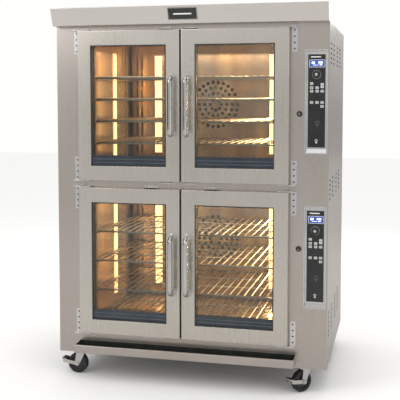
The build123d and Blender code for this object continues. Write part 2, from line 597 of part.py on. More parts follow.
with BuildPart() as displays:
    for panel_low in PANEL_LOW.values():
        display_z = (panel_low + DISPLAY_Z[0], panel_low + DISPLAY_Z[1])
        slab(DISPLAY_X, (OVERLAY_Y[0] - 1, OVERLAY_Y[0]), display_z)
save(displays, "displays")

with BuildPart() as keypads:
    for panel_low in PANEL_LOW.values():
        for column, height in KEYS:
            key_x = KEY_COLUMNS[column]
            key_z = panel_low + height
            slab((key_x - KEY_W / 2, key_x + KEY_W / 2), (OVERLAY_Y[0] - KEY_RISE, OVERLAY_Y[0]),
                 (key_z - KEY_H / 2, key_z + KEY_H / 2))
save(keypads, "keypads")

for deck, panel_low in PANEL_LOW.items():
    with BuildPart() as knob:
        knob_z = panel_low + KNOB_Z
        base_y = OVERLAY_Y[0] - CLEAR
        round_bar(PANEL_MID, knob_z, KNOB_R, (base_y - 4, base_y))
        round_bar(PANEL_MID, knob_z, KNOB_R - 3, (FRONT - 9, base_y - 4))
        round_bar(PANEL_MID, knob_z, KNOB_SHAFT_R, (base_y, FRONT + PANEL_RECESS + 14))
        chamfer(knob.edges().filter_by(GeomType.CIRCLE).group_by(Axis.Y)[0], 1.5)
    save(knob, f"{deck}_knob")

BOARD_Y = FRONT + PANEL_RECESS + 26
BAT_PIVOT_Y = FRONT + 4
BAT_TIP_Y = FRONT - 22
PIVOT_R, PIVOT_HALF, STEM_R, TIP_R = 3, 3.8, 2, 3.2

with BuildPart() as control_electronics:
    for panel_low in PANEL_LOW.values():
        board_z = (panel_low + 60, panel_low + PANEL_H - 20)
        slab((PANEL_LEFT + 4, PANEL_RIGHT - 4), (BOARD_Y, BOARD_Y + 2), board_z)
        for post_x in (PANEL_LEFT + 12, PANEL_RIGHT - 12):
            for post_z in (board_z[0] + 8, board_z[1] - 8):
                round_bar(post_x, post_z, 3, (FRONT + PANEL_RECESS + SHEET, BOARD_Y))
        for relay in range(3):
            relay_z = board_z[0] + 50 + relay * 70
            slab((PANEL_LEFT + 20, PANEL_LEFT + 50), (BOARD_Y + 2, BOARD_Y + 24), (relay_z, relay_z + 30))
        slab((PANEL_LEFT + 8, PANEL_RIGHT - 8), (BOARD_Y + 60, BOARD_Y + 140),
             (panel_low + 80, panel_low + 200))
    for switch_z in SWITCH_Z.values():
        slab((SWITCH_X - 8, SWITCH_X + 8), (FRONT + 14, FRONT + 34), (switch_z - 13, switch_z + 13))
        round_bar(SWITCH_X, switch_z, BUSH_R - 0.1, (FRONT - 6, FRONT + 14))
        round_bar(SWITCH_X, switch_z, NUT_R, (FRONT - 4, FRONT))
        round_bar(SWITCH_X, switch_z, BUSH_BORE_R, (FRONT - 6, FRONT + 13), Mode.SUBTRACT)
save(control_electronics, "control_electronics")

for deck, switch_z in SWITCH_Z.items():
    with BuildPart() as bat:
        with Locations((SWITCH_X, BAT_PIVOT_Y, switch_z)):
            Cylinder(PIVOT_R, 2 * PIVOT_HALF, rotation=(0, 90, 0))
        stem_y = (BAT_PIVOT_Y + BAT_TIP_Y) / 2
        with Locations((SWITCH_X, stem_y, switch_z)):
            Cylinder(STEM_R, BAT_PIVOT_Y - BAT_TIP_Y, rotation=(90, 0, 0))
        with Locations((SWITCH_X, BAT_TIP_Y, switch_z)):
            Sphere(TIP_R)
    save(bat, f"{deck}_light_switch")

INLET_X, INLET_Z = 470, 210

with BuildPart() as power_inlet:
    slab((INLET_X - 60, INLET_X + 60), (BACK, BACK + REAR_PROUD - 1), (INLET_Z, INLET_Z + 90))
    upright_bar(INLET_X, BACK + 12, 11, (INLET_Z - 32, INLET_Z))
    upright_bar(INLET_X, BACK + 12, 8, (INLET_Z - 32, INLET_Z + 12), Mode.SUBTRACT)
save(power_inlet, "power_inlet")

# ---------------------------------------------------------------- drip trough
with BuildPart() as drip_trough:
    lip_y, wall_y = FRONT - TROUGH_PROUD, FRONT - 1
    between = (TROUGH_LEFT + SHEET + SEAM, TROUGH_RIGHT - SHEET - SEAM)
    slab(between, (lip_y, wall_y), (TROUGH_LOW, TROUGH_LOW + SHEET))
    side_z = TROUGH_LOW + SHEET + SEAM
    slab(between, (lip_y, lip_y + SHEET), (side_z, TROUGH_LIP))
    slab(between, (wall_y - SHEET, wall_y), (side_z, TROUGH_BACK_TOP))
    end = ((lip_y, TROUGH_LOW), (wall_y, TROUGH_LOW), (wall_y, TROUGH_BACK_TOP), (lip_y, TROUGH_LIP))
    for end_x in (TROUGH_LEFT, TROUGH_RIGHT - SHEET):
        profile_along_x(end, (end_x, end_x + SHEET))
save(drip_trough, "drip_trough")

# ---------------------------------------------------------------- casters
PLATE_FRONT, PLATE_REAR = 29, 56        # caster plate ahead of and behind the swivel

with BuildPart() as caster_plates:
    for swivel_x, swivel_y, _ in CASTERS.values():
        plate_y = (swivel_y - PLATE_FRONT, swivel_y + PLATE_REAR)
        slab((swivel_x - 40, swivel_x + 40), plate_y, (PLATE_TOP - 4, PLATE_TOP))
        upright_bar(swivel_x, swivel_y, SWIVEL_R, (RACE_LOW, PLATE_TOP - 4))
        bore_z = (RACE_LOW, RACE_LOW + 12)
        upright_bar(swivel_x, swivel_y, KINGPIN_R + SHAFT_FIT, bore_z, Mode.SUBTRACT)
save(caster_plates, "caster_plates")


def along_axle(side, radius, span, mode=Mode.ADD):
    """A round piece about the axle, over the span of distances along it from the middle."""
    with BuildSketch(side.offset(span[0])) as disc:
        with Locations((TRAIL, WHEEL_R)):
            Circle(radius)
    extrude(disc.sketch, amount=span[1] - span[0], mode=mode)


def side_plane(swivel_x, swivel_y, trail_angle):
    """Upright plane through the swivel: its sketch reads (trail, height), its normal is the axle."""
    trail = (cos(radians(trail_angle)), sin(radians(trail_angle)), 0)
    return Plane(origin=(swivel_x, swivel_y, 0), x_dir=trail, z_dir=(trail[1], -trail[0], 0))


PEDAL_IN, PEDAL_T, PEDAL_REACH, PEDAL_RISE = 21.2, 2.5, 62, 9

for corner, (swivel_x, swivel_y, trail_angle) in CASTERS.items():
    side = side_plane(swivel_x, swivel_y, trail_angle)
    braked = corner.startswith("front")

    with BuildPart() as fork:
        upright_bar(swivel_x, swivel_y, SWIVEL_R, (FORK_TOP - 5.5, FORK_TOP))
        upright_bar(swivel_x, swivel_y, KINGPIN_R, (FORK_TOP, FORK_TOP + 11))
        leg_top = FORK_TOP - 5.5 - CLEAR
        for start in (LEG_IN, -LEG_IN - LEG_T):
            with BuildSketch(side.offset(start)):
                with Locations((TRAIL, WHEEL_R)):
                    Circle(12)
                Polygon((-18, leg_top), (24, leg_top), (TRAIL + 11.6, 52), (TRAIL - 11.6, 45), align=None)
            extrude(amount=LEG_T)
        along_axle(side, AXLE_R, (-LEG_IN + CLEAR, LEG_IN - CLEAR))
        leg_out = LEG_IN + LEG_T
        nut_in = PEDAL_IN + PEDAL_T + 0.5 if braked else leg_out + CLEAR
        for sign in (1, -1):
            stub = sorted((sign * (leg_out + CLEAR), sign * (nut_in + 5)))
            nut = sorted((sign * nut_in, sign * (nut_in + 4)))
            along_axle(side, AXLE_R, stub)
            along_axle(side, AXLE_R + 4, nut)
    save(fork, f"{corner}_caster_fork")

    with BuildPart() as wheel:
        along_axle(side, WHEEL_R, (-WHEEL_HALF, WHEEL_HALF))
        rims = wheel.edges().filter_by(GeomType.CIRCLE).sort_by(SortBy.LENGTH)[-2:]
        fillet(rims, 6)
        along_axle(side, WHEEL_R - 14, (WHEEL_HALF - 4, WHEEL_HALF), Mode.SUBTRACT)
        along_axle(side, WHEEL_R - 14, (-WHEEL_HALF, 4 - WHEEL_HALF), Mode.SUBTRACT)
        along_axle(side, AXLE_R + 7, (-WHEEL_HALF, WHEEL_HALF))
        along_axle(side, AXLE_R + SHAFT_FIT, (-WHEEL_HALF, WHEEL_HALF), Mode.SUBTRACT)
    save(wheel, f"{corner}_caster_wheel")

    if braked:
        with BuildPart() as pedal:
            for start in (PEDAL_IN, -PEDAL_IN - PEDAL_T):
                with BuildSketch(side.offset(start)):
                    with Locations((TRAIL + PEDAL_REACH / 2, WHEEL_R + PEDAL_RISE / 2)):
                        tilt = 8
                        SlotOverall(PEDAL_REACH + 18, 17, rotation=tilt)
                    with Locations((TRAIL, WHEEL_R)):
                        Circle(AXLE_R + SHAFT_FIT, mode=Mode.SUBTRACT)
                extrude(amount=PEDAL_T)
            pad_in = PEDAL_IN - CLEAR
            pad_low, pad_high = WHEEL_R + 6, WHEEL_R + 22
            with BuildSketch(side.offset(-pad_in)):
                pad = ((TRAIL + 54, pad_low), (TRAIL + 73, pad_low + 6),
                   (TRAIL + 76, pad_high), (TRAIL + 54, pad_high - 4))
                Polygon(*pad, align=None)
            extrude(amount=2 * pad_in)
        save(pedal, f"{corner}_brake_pedal")
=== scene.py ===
import math

import bmesh
import bpy
import numpy as np
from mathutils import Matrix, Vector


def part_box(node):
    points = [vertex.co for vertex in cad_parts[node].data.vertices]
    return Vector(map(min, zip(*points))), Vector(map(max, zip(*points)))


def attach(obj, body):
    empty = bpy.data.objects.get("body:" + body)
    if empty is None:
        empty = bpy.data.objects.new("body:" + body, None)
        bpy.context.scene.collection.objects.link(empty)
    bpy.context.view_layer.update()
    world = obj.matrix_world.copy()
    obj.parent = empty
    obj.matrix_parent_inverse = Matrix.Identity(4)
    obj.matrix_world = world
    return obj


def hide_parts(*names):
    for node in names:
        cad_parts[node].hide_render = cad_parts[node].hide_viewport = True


bl_info = {
    "name": "Two-chamber bakery oven",
    "version": (1, 0, 0),
    "blender": (4, 5, 0),
    "location": "View3D > Sidebar > Oven",
    "description": "Sheet-metal, glass, wire and control details of a two-chamber bakery oven",
    "category": "Add Mesh",
}

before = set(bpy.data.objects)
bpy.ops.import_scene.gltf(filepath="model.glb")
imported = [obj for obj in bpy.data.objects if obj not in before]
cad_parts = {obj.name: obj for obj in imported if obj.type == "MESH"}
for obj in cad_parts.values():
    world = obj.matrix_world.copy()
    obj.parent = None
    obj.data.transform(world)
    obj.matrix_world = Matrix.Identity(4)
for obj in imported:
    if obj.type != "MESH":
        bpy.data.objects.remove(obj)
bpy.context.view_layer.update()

MM = 0.001
X, Y, Z = np.eye(3)
DECKS = ("upper", "lower")
SIDES = ("left", "right")
DOORS = tuple((deck, side) for deck in DECKS for side in SIDES)
PIN_INSET, PIN_RISE = 8, 8      # of a hinge pin: in from the door's outer edge, and past its top or foot
TRAIL_ANGLES = {"front_left": 180, "front_right": 227, "rear_left": 115, "rear_right": 70}
SEEDS = {"steel": 3.0, "warm": 11.0, "dark": 23.0}


def span(node):
    """Lowest and highest corner of a CAD node, in millimetres."""
    low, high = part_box(node)
    return np.array(low) / MM, np.array(high) / MM


def fan_centre(deck):
    """Middle of a deck's fan, in millimetres."""
    return np.add(*span(f"{deck}_fan_impeller")) / 2


FACE = span("front_frame")[0][1]                # the front face's plane
BACK = span("back_panel")[1][1]
LEFT, RIGHT = span("left_side_panel")[0][0], span("right_side_panel")[1][0]
BODY_TOP = span("left_side_panel")[1][2]


# ---------------------------------------------------------------- surfaces
def grid(rows, columns, wrap_rows=False, wrap_columns=False):
    """Four-sided faces between the points of a grid, numbered row by row."""
    row = np.arange(rows if wrap_rows else rows - 1)
    column = np.arange(columns if wrap_columns else columns - 1)
    row, column = (a.ravel() for a in np.meshgrid(row, column, indexing="ij"))
    below, beside = (row + 1) % rows, (column + 1) % columns
    corners = (row * columns + column, row * columns + beside,
               below * columns + beside, below * columns + column)
    return np.stack(corners, 1)


def carry(profile, path, across, along, closed=False):
    """Point = path + a * across + b * along for each (a, b) of a closed profile; open ends are capped."""
    profile, path = np.asarray(profile, float), np.asarray(path, float)
    across = np.broadcast_to(across, path.shape)
    along = np.broadcast_to(along, path.shape)
    points = (path[:, None] + profile[None, :, :1] * across[:, None]
              + profile[None, :, 1:] * along[:, None])
    faces = [grid(len(path), len(profile), closed, True)]
    if not closed:
        cap = np.arange(len(profile))[None]
        faces += [cap[:, ::-1], cap + (len(path) - 1) * len(profile)]
    return points.reshape(-1, 3), faces


def outline(half, corner, steps=4):
    """Rounded rectangle about zero and its outward directions: a quarter circle at each corner."""
    turn = np.linspace(0, math.pi / 2, steps + 1)
    corner = min(corner, *half)
    angles = (turn[None] + np.arange(4)[:, None] * math.pi / 2).ravel()
    signs = np.repeat(np.array([(1, 1), (-1, 1), (-1, -1), (1, -1)]), steps + 1, 0)
    outward = np.stack([np.cos(angles), np.sin(angles)], 1)
    return signs * (np.array(half) - corner) + corner * outward, outward


def plate(centre, half, thick, axes=(X, Z, -Y), corner=2.0, edge=0.5, steps=4):
    """Rounded plate grown from centre along the third axis: outlines that shrink by a rounded edge."""
    u, v, w = axes
    turn = np.linspace(0, math.pi / 2, 4)
    edge = min(edge, thick / 2)
    levels = np.concatenate([edge - edge * np.sin(math.pi / 2 - turn), thick - edge + edge * np.sin(turn)])
    insets = np.concatenate([edge - edge * np.cos(math.pi / 2 - turn), edge - edge * np.cos(turn)])
    rings = []
    for level, inset in zip(levels, insets):
        shape, _ = outline((half[0] - inset, half[1] - inset), max(corner - inset, 0.05), steps)
        rings.append(centre + shape[:, :1] * u + shape[:, 1:] * v + level * w)
    count = len(rings[0])
    cap = np.arange(count)[None]
    faces = [grid(len(rings), count, False, True), cap[:, ::-1], cap + (len(rings) - 1) * count]
    return np.concatenate(rings), faces


def block(low, high, corner=1.0, edge=0.5):
    """Rounded block between two corners, its plate lying across the depth."""
    low, high = np.minimum(low, high), np.maximum(low, high)
    centre, half = (low + high) / 2, (high - low) / 2
    return plate((centre[0], high[1], centre[2]), (half[0], half[2]), high[1] - low[1],
                 corner=corner, edge=edge, steps=3)


def rim(centre, half, width, height, axes=(X, Z, -Y), corner=2.0, steps=5):
    """Raised band round a rounded rectangle: a half-round profile carried along its outline."""
    u, v, w = axes
    shape, outward = outline(half, corner, steps)
    turn = np.linspace(0, math.pi, 5)
    profile = np.stack([width / 2 - width / 2 * np.cos(turn), height * np.sin(turn) ** 0.5], 1)
    profile = np.concatenate([profile, [(width, -0.3), (0, -0.3)]])
    path = centre + shape[:, :1] * u + shape[:, 1:] * v
    direction = outward[:, :1] * u + outward[:, 1:] * v
    return carry(profile, path, direction, w, closed=True)


def turned(profile, centre, axis=Y, steps=24, flutes=0, depth=0.0):
    """Profile of (radius, height) turned about an axis; flutes scale the radius by a cosine."""
    profile = np.asarray(profile, float)
    axis = np.asarray(axis, float)
    u = np.cross(axis, Z if abs(axis[2]) < 0.9 else X)
    u /= np.linalg.norm(u)
    v = np.cross(axis, u)
    angle = np.linspace(0, 2 * math.pi, steps, endpoint=False)
    radius = profile[:, :1] * (1 - depth * (0.5 + 0.5 * np.cos(flutes * angle)) if flutes else 1)
    round_x, round_y = radius * np.cos(angle), radius * np.sin(angle)
    points = (centre + round_x[..., None] * u + round_y[..., None] * v
              + profile[:, 1][:, None, None] * axis)
    return points.reshape(-1, 3), [grid(len(profile), steps, False, True)]


def tangents(line):
    """Direction of a line at each point: the mean of the directions of the runs on its two sides."""
    runs = np.diff(line, axis=0)
    runs /= np.linalg.norm(runs, axis=1)[:, None]
    mean = np.concatenate([runs[:1], runs]) + np.concatenate([runs, runs[-1:]])
    return mean / np.linalg.norm(mean, axis=1)[:, None]


def tube(path, radius, side, sides=20):
    """Circle carried along a flat path whose plane has the normal side."""
    path = np.asarray(path, float)
    along = tangents(path)
    angle = np.linspace(0, 2 * math.pi, sides, endpoint=False)
    circle = radius * np.stack([np.cos(angle), np.sin(angle)], 1)
    return carry(circle, path, side, np.cross(along, side))


def bend(corners, radius, steps=5):
    """Line of (a, b) points through the corners, each inner corner eased by a quadratic curve."""
    corners = np.asarray(corners, float)
    points = [corners[:1]]
    share = np.linspace(0, 1, steps + 1)[:, None]
    for before, at, after in zip(corners, corners[1:], corners[2:]):
        reach = min(radius, np.linalg.norm(at - before) / 2, np.linalg.norm(after - at) / 2)
        start = at + (before - at) / np.linalg.norm(before - at) * reach
        end = at + (after - at) / np.linalg.norm(after - at) * reach
        points.append((1 - share) ** 2 * start + 2 * share * (1 - share) * at + share ** 2 * end)
    points.append(corners[-1:])
    return np.concatenate(points)


def sheet(corners, thickness, radius=3.0):
    """Closed profile of bent sheet: its middle line offset to both sides by half the thickness."""
    line = bend(corners, radius)
    line = line[np.concatenate([[True], np.linalg.norm(np.diff(line, axis=0), axis=1) > 0.01])]
    along = tangents(line)
    normal = np.stack([-along[:, 1], along[:, 0]], 1) * thickness / 2
    return np.concatenate([line + normal, (line - normal)[::-1]])


def along_x(profile, ends):
    """Profile of (depth, height) carried along X between two ends."""
    return carry(profile, [(end, 0, 0) for end in ends], Y, Z)


def around(low, high, profile, stretch=1.0):
    """Profile of (outward, depth) carried round a window's four corners, mitred at each."""
    corners = [(high[0], 0, high[2]), (low[0], 0, high[2]), (low[0], 0, low[2]), (high[0], 0, low[2])]
    outward = [(1, 0, stretch), (-1, 0, stretch), (-1, 0, -stretch), (1, 0, -stretch)]
    return carry(profile, corners, outward, Y, closed=True)


def section(low, high, radii=(2.5, 1.0), steps=4):
    """Rounded box section in (outward, depth): front corners by the first radius, rear by the second."""
    front, rear = radii
    turn = np.linspace(0, math.pi / 2, steps + 1)
    parts = []
    for corner, (sign_a, sign_b) in enumerate(((1, 1), (-1, 1), (-1, -1), (1, -1))):
        radius = rear if sign_b > 0 else front
        edge_a, edge_b = (high if sign_a > 0 else low)[0], (high if sign_b > 0 else low)[1]
        angle = turn + corner * math.pi / 2
        parts.append(np.stack([edge_a - sign_a * radius + radius * np.cos(angle),
                               edge_b - sign_b * radius + radius * np.sin(angle)], 1))
    return np.concatenate(parts)


class Piece:
    """Surfaces gathered in millimetres, made into one mesh that rides on a body."""

    def __init__(self, name, body, *finishes, slot, replaces=()):
        self.name, self.body, self.finishes = name, body, finishes
        self.slot, self.replaces = slot, replaces
        self.points, self.faces, self.marks, self.count = [], [], [], 0

    def add(self, surface, finish=0, at=((0, 0, 0),)):
        """Adds a surface once at each offset."""
        points, faces = surface
        for offset in at:
            self.points.append(points + np.asarray(offset, float))
            for group in faces:
                self.faces += (group + self.count).tolist()
                self.marks += [finish] * len(group)
            self.count += len(points)

    def make(self, sharp=35):
        mesh = bpy.data.meshes.new(self.name)
        mesh.from_pydata((np.concatenate(self.points) * MM).tolist(), [], self.faces)
        for name in self.finishes:
            mesh.materials.append(finish(name))
        mesh.polygons.foreach_set("material_index", self.marks)
        work = bmesh.new()
        work.from_mesh(mesh)
        bmesh.ops.remove_doubles(work, verts=work.verts, dist=0.01 * MM)
        bmesh.ops.recalc_face_normals(work, faces=work.faces)
        work.to_mesh(mesh)
        work.free()
        mesh.polygons.foreach_set("use_smooth", np.ones(len(mesh.polygons), bool))
        mesh.set_sharp_from_angle(angle=math.radians(sharp))
        made = bpy.data.objects.new(self.name, mesh)
        bpy.context.scene.collection.objects.link(made)
        even = made.modifiers.new("even_faces", "WEIGHTED_NORMAL")
        even.keep_sharp = True
        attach(made, self.body)
        if self.replaces:
            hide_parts(*self.replaces)
        return made


# ---------------------------------------------------------------- finishes
class Wire:
    """A socket that can be added to, taken away and scaled, each step a Math node."""

    def __init__(self, nodes, socket):
        self.nodes, self.socket = nodes, socket

    def _with(self, operation, first, second):
        return self.nodes.node("ShaderNodeMath", {"operation": operation}, {0: first, 1: second})

    def __add__(self, other):
        return self._with("ADD", self, other)

    def __radd__(self, other):
        return self._with("ADD", other, self)

    def __sub__(self, other):
        return self._with("SUBTRACT", self, other)

    def __rsub__(self, other):
        return self._with("SUBTRACT", other, self)

    def __mul__(self, other):
        return self._with("MULTIPLY", self, other)

    def __rmul__(self, other):
        return self._with("MULTIPLY", other, self)


class Nodes:
    """A node tree that takes nodes and links."""

    def __init__(self, tree):
        self.tree = tree

    def node(self, kind, settings=(), inputs=(), output=0):
        """Adds a node, makes its settings, gives its sockets values or links, and returns one output."""
        made, settings, inputs = self.tree.nodes.new(kind), dict(settings), dict(inputs)
        for key, value in settings.items():
            if key == "stops":
                elements = made.color_ramp.elements
                while len(elements) < len(value):
                    elements.new(0.5)
                for stop, (at, grey) in zip(elements, value):
                    stop.position, stop.color = at, (grey, grey, grey, 1)
            else:
                setattr(made, key, value)
        for key, value in inputs.items():
            self.link(made.inputs[key], value)
        return Wire(self, made.outputs[output])

    def link(self, socket, value):
        if isinstance(value, Wire):
            self.tree.links.new(value.socket, socket)
        elif socket.type == "RGBA" and len(value) == 3:
            socket.default_value = (*value, 1)
        else:
            socket.default_value = value


class Paint(Nodes):
    """A material with one Principled shader."""

    def __init__(self, name, **constants):
        self.material = bpy.data.materials.new(name)
        self.material.use_nodes = True
        super().__init__(self.material.node_tree)
        self.shader = self.tree.nodes["Principled BSDF"]
        self.place = self.node("ShaderNodeTexCoord", output="Object")
        for socket, value in constants.items():
            self.set(socket.replace("_", " "), value)

    def set(self, socket, value):
        self.link(self.shader.inputs[socket], value)

    def noise(self, scale, detail=3.0, rough=0.55, seed=0.0, stretch=(1, 1, 1)):
        """Noise from 0 to 1, stretched along the axes and shifted by its seed."""
        shift = (seed, seed * 0.7, seed * 1.3)
        moved = self.node("ShaderNodeMapping", inputs={
            "Vector": self.place, "Location": shift, "Scale": stretch})
        return self.node("ShaderNodeTexNoise", inputs={
            "Vector": moved, "Scale": scale, "Detail": detail, "Roughness": rough})

    def mix(self, factor, first, second):
        return self.node("ShaderNodeMix", {"data_type": "RGBA", "clamp_factor": True},
                         {0: factor, 6: first, 7: second}, 2)

    def bump(self, height, strength, distance):
        self.set("Normal", self.node("ShaderNodeBump", inputs={
            "Height": height, "Strength": strength, "Distance": distance}))


def tinted(colour, tint):
    """A colour with each channel scaled."""
    return tuple(c * t for c, t in zip(colour, tint))


def brushed(name, seed, colour, grain_along, rough):
    """Brushed sheet: fine lines along one axis, broad cloudy variation and a few wiped smears."""
    paint = Paint(name, Metallic=1.0)

    def drawn(scale):
        return tuple(np.where(np.arange(3) == grain_along, scale, 1.0))

    fine = paint.noise(900, 2, 0.6, seed, drawn(0.02))
    lines = paint.noise(110, 3, 0.6, seed + 5, drawn(0.012))
    cloud = paint.noise(1.7, 2, 0.5, seed + 9)
    smear = paint.noise(5, 3, 0.55, seed + 13, drawn(0.45))
    dark = tinted(colour, (0.8, 0.775, 0.74))
    light = tuple(min(1.0, c * 1.1) for c in colour)
    blend = cloud * 0.5 + lines * 0.24 + fine * 0.14 + smear * 0.2 - 0.19
    paint.set("Base Color", paint.mix(blend, dark, light))
    paint.set("Roughness", rough - 0.1 + lines * 0.06 + smear * 0.1 + fine * 0.05)
    paint.bump(fine * 0.6 + lines * 0.4, 0.07, 0.0003)
    return paint


def polished(name, seed, colour, rough, tint=(0.7, 0.75, 0.85)):
    """Polished metal with faint scuffs and a little heat tint."""
    paint = Paint(name, Metallic=1.0)
    scuff = paint.noise(22, 3, 0.6, seed)
    tone = paint.noise(4, 2, 0.5, seed + 3)
    paint.set("Base Color", paint.mix(tone * 1.6 - 0.6, colour, tinted(colour, tint)))
    paint.set("Roughness", rough + scuff * 0.12)
    paint.bump(scuff, 0.02, 0.0003)
    return paint


def chamber(name, seed, colour, rough):
    """Heat-toned liner sheet: upright streaks that turn from straw to blue, and baked-on specks."""
    paint = Paint(name, Metallic=0.8)
    streak = paint.noise(14, 3, 0.6, seed, (1, 1, 0.08))
    tone = paint.noise(3, 2, 0.5, seed + 4)
    speck = paint.noise(140, 3, 0.7, seed + 7)
    straw = paint.mix(streak * 2.4 - 0.8, colour, tinted(colour, (0.5, 0.42, 0.38)))
    blued = paint.mix(tone * 2.2 - 0.95, straw, (0.22, 0.25, 0.34))
    paint.set("Base Color", paint.mix((speck - 0.62) * 5, blued, (0.1, 0.05, 0.02)))
    paint.set("Roughness", rough + streak * 0.12 + speck * 0.08)
    paint.bump(speck * 0.4 + streak * 0.6, 0.15, 0.0006)
    return paint


def moulded(name, seed, colour, rough, grit=700, coat=0.0, lift=1.5):
    """Moulded or painted surface: fine texture, faint dust and worn patches."""
    paint = Paint(name, Coat_Weight=coat)
    skin = paint.noise(grit, 2, 0.5, seed)
    dust = paint.noise(18, 4, 0.65, seed + 6)
    pale = tuple(min(1.0, c * lift + 0.01) for c in colour)
    paint.set("Base Color", paint.mix(dust * 1.8 - 0.6, colour, pale))
    paint.set("Roughness", rough - 0.08 + dust * 0.2)
    paint.bump(skin, 0.18, 0.0003)
    return paint


def glowing(name, seed, colour, strength):
    """Lit surface whose brightness falls off in soft patches."""
    paint = Paint(name, Roughness=0.35, Emission_Strength=strength)
    patch = paint.noise(9, 2, 0.5, seed)
    paint.set("Base Color", paint.mix(patch, colour, tinted(colour, (0.8, 0.8, 0.8))))
    paint.set("Emission Color", paint.mix(patch, tinted(colour, (0.75, 0.75, 0.75)), colour))
    return paint


def clear_glass(name, seed):
    """Clear pane: sees through except where it mirrors, more so at a slant, with faint smears."""
    paint = Paint(name, Base_Color=(0.8, 0.86, 0.86), Metallic=1.0)
    see = paint.node("ShaderNodeBsdfTransparent", inputs={"Color": (0.97, 0.985, 0.975)})
    slant = paint.node("ShaderNodeFresnel", inputs={"IOR": 1.35})
    smear = paint.noise(10, 4, 0.6, seed, (1, 1, 0.5))
    paint.set("Roughness", 0.02 + smear * 0.06)
    factor = slant * 0.7 + smear * 0.04 - 0.012
    mirror = Wire(paint, paint.shader.outputs[0])
    out = paint.node("ShaderNodeMixShader", inputs={0: factor, 1: see, 2: mirror})
    paint.link(paint.tree.nodes["Material Output"].inputs["Surface"], out)
    return paint


def finish(name):
    """The material of that name, made at its first use; a word in its row is one of the user's values."""
    if name not in MADE:
        maker, group, step, *values = FINISHES[name]
        users = bpy.context.scene.oven_colours
        values = [getattr(users, value) if isinstance(value, str) else value for value in values]
        MADE[name] = maker(f"oven_{name}", SEEDS[group] + step, *values).material
    return MADE[name]


MADE = {}
FINISHES = {                    # maker, seed and its step, colour, roughness or strength, and the rest
    "panel_steel": (brushed, "steel", 0, "steel", 2, 0.28),
    "canopy_steel": (brushed, "steel", 24, "canopy", 0, 0.32),
    # painted highlight: lighter ribs along the dark channels at the windows' feet
    "channel_rib": (moulded, "dark", 24, (0.12, 0.16, 0.24), 0.3, 300, 0.2, 1.4),
    # painted shade: the near-black sheet inside the drip trough
    "trough_black": (moulded, "dark", 26, (0.011, 0.014, 0.011), 0.45, 260, 0.1, 2.2),
    "knob_grey": (moulded, "steel", 26, (0.2, 0.2, 0.2), 0.4, 900, 0.0, 1.2),
    "level_steel": (brushed, "steel", 2, "steel", 0, 0.34),
    "door_steel": (brushed, "steel", 4, "door", 2, 0.27),
    "chamber_steel": (chamber, "warm", 0, "chamber", 0.13),
    "guide_steel": (chamber, "warm", 3, (0.34, 0.27, 0.2), 0.3),
    # painted shade: the racks' rods are darkened so that they read as silhouettes against the lit chamber
    "wire_steel": (polished, "warm", 5, (0.3, 0.27, 0.24), 0.26),
    "frame_steel": (brushed, "steel", 6, (0.42, 0.42, 0.42), 0, 0.45),
    "bright_steel": (polished, "steel", 8, (0.78, 0.765, 0.75), 0.2),
    "handle_steel": (polished, "steel", 10, (0.68, 0.66, 0.63), 0.14),
    "zinc": (polished, "steel", 12, (0.66, 0.66, 0.67), 0.26, (0.8, 0.78, 0.66)),
    # dark steel that stands in for shade: on the side's vent rims, and on the screw heads of hinges and
    # catches
    "dark_screw": (polished, "dark", 0, (0.12, 0.11, 0.1), 0.3),
    "clear_glass": (clear_glass, "steel", 14),
    "lamp_glow": (glowing, "warm", 7, "lamp", "lamp_strength"),
    "seal_rubber": (moulded, "dark", 2, (0.03, 0.03, 0.032), 0.6),
    "tyre_rubber": (moulded, "dark", 4, (0.012, 0.012, 0.013), 0.5),
    "hub_plastic": (moulded, "dark", 6, (0.03, 0.03, 0.032), 0.4),
    "black_panel": (moulded, "dark", 8, (0.008, 0.008, 0.009), 0.22, 1500, 0.3, 1.3),
    "black_plastic": (moulded, "dark", 10, (0.014, 0.014, 0.015), 0.35, 900),
    "name_black": (moulded, "dark", 12, (0.01, 0.01, 0.01), 0.25, 1200, 0.4, 1.4),
    # painted shade: the near-black channels along the windows' feet
    "sill_enamel": (moulded, "dark", 14, "enamel", 0.4, 300, 0.15, 1.9),
    "key_grey": (moulded, "steel", 16, (0.5, 0.5, 0.5), 0.5, 1200, 0.0, 1.1),
    "mark_white": (moulded, "steel", 18, (0.72, 0.72, 0.7), 0.5, 1200, 0.0, 1.05),
    "mark_grey": (moulded, "steel", 20, (0.14, 0.14, 0.14), 0.5, 1200, 0.0, 1.2),
    "display_blue": (glowing, "dark", 16, "display", 1.1),
    "display_white": (glowing, "dark", 18, (0.8, 0.88, 1.0), 1.0),
    "mineral_wool": (moulded, "warm", 9, (0.42, 0.38, 0.25), 0.9, 220),
    "element_steel": (polished, "warm", 11, (0.3, 0.26, 0.22), 0.4),
    "motor_alu": (brushed, "steel", 22, (0.5, 0.5, 0.5), 1, 0.45),
    # painted shade: black plates behind the vent slots
    "vent_black": (moulded, "dark", 22, (0.006, 0.006, 0.007), 0.85, 800, 0.0, 1.3),
    "board_green": (moulded, "dark", 20, (0.02, 0.09, 0.03), 0.4, 400),
}

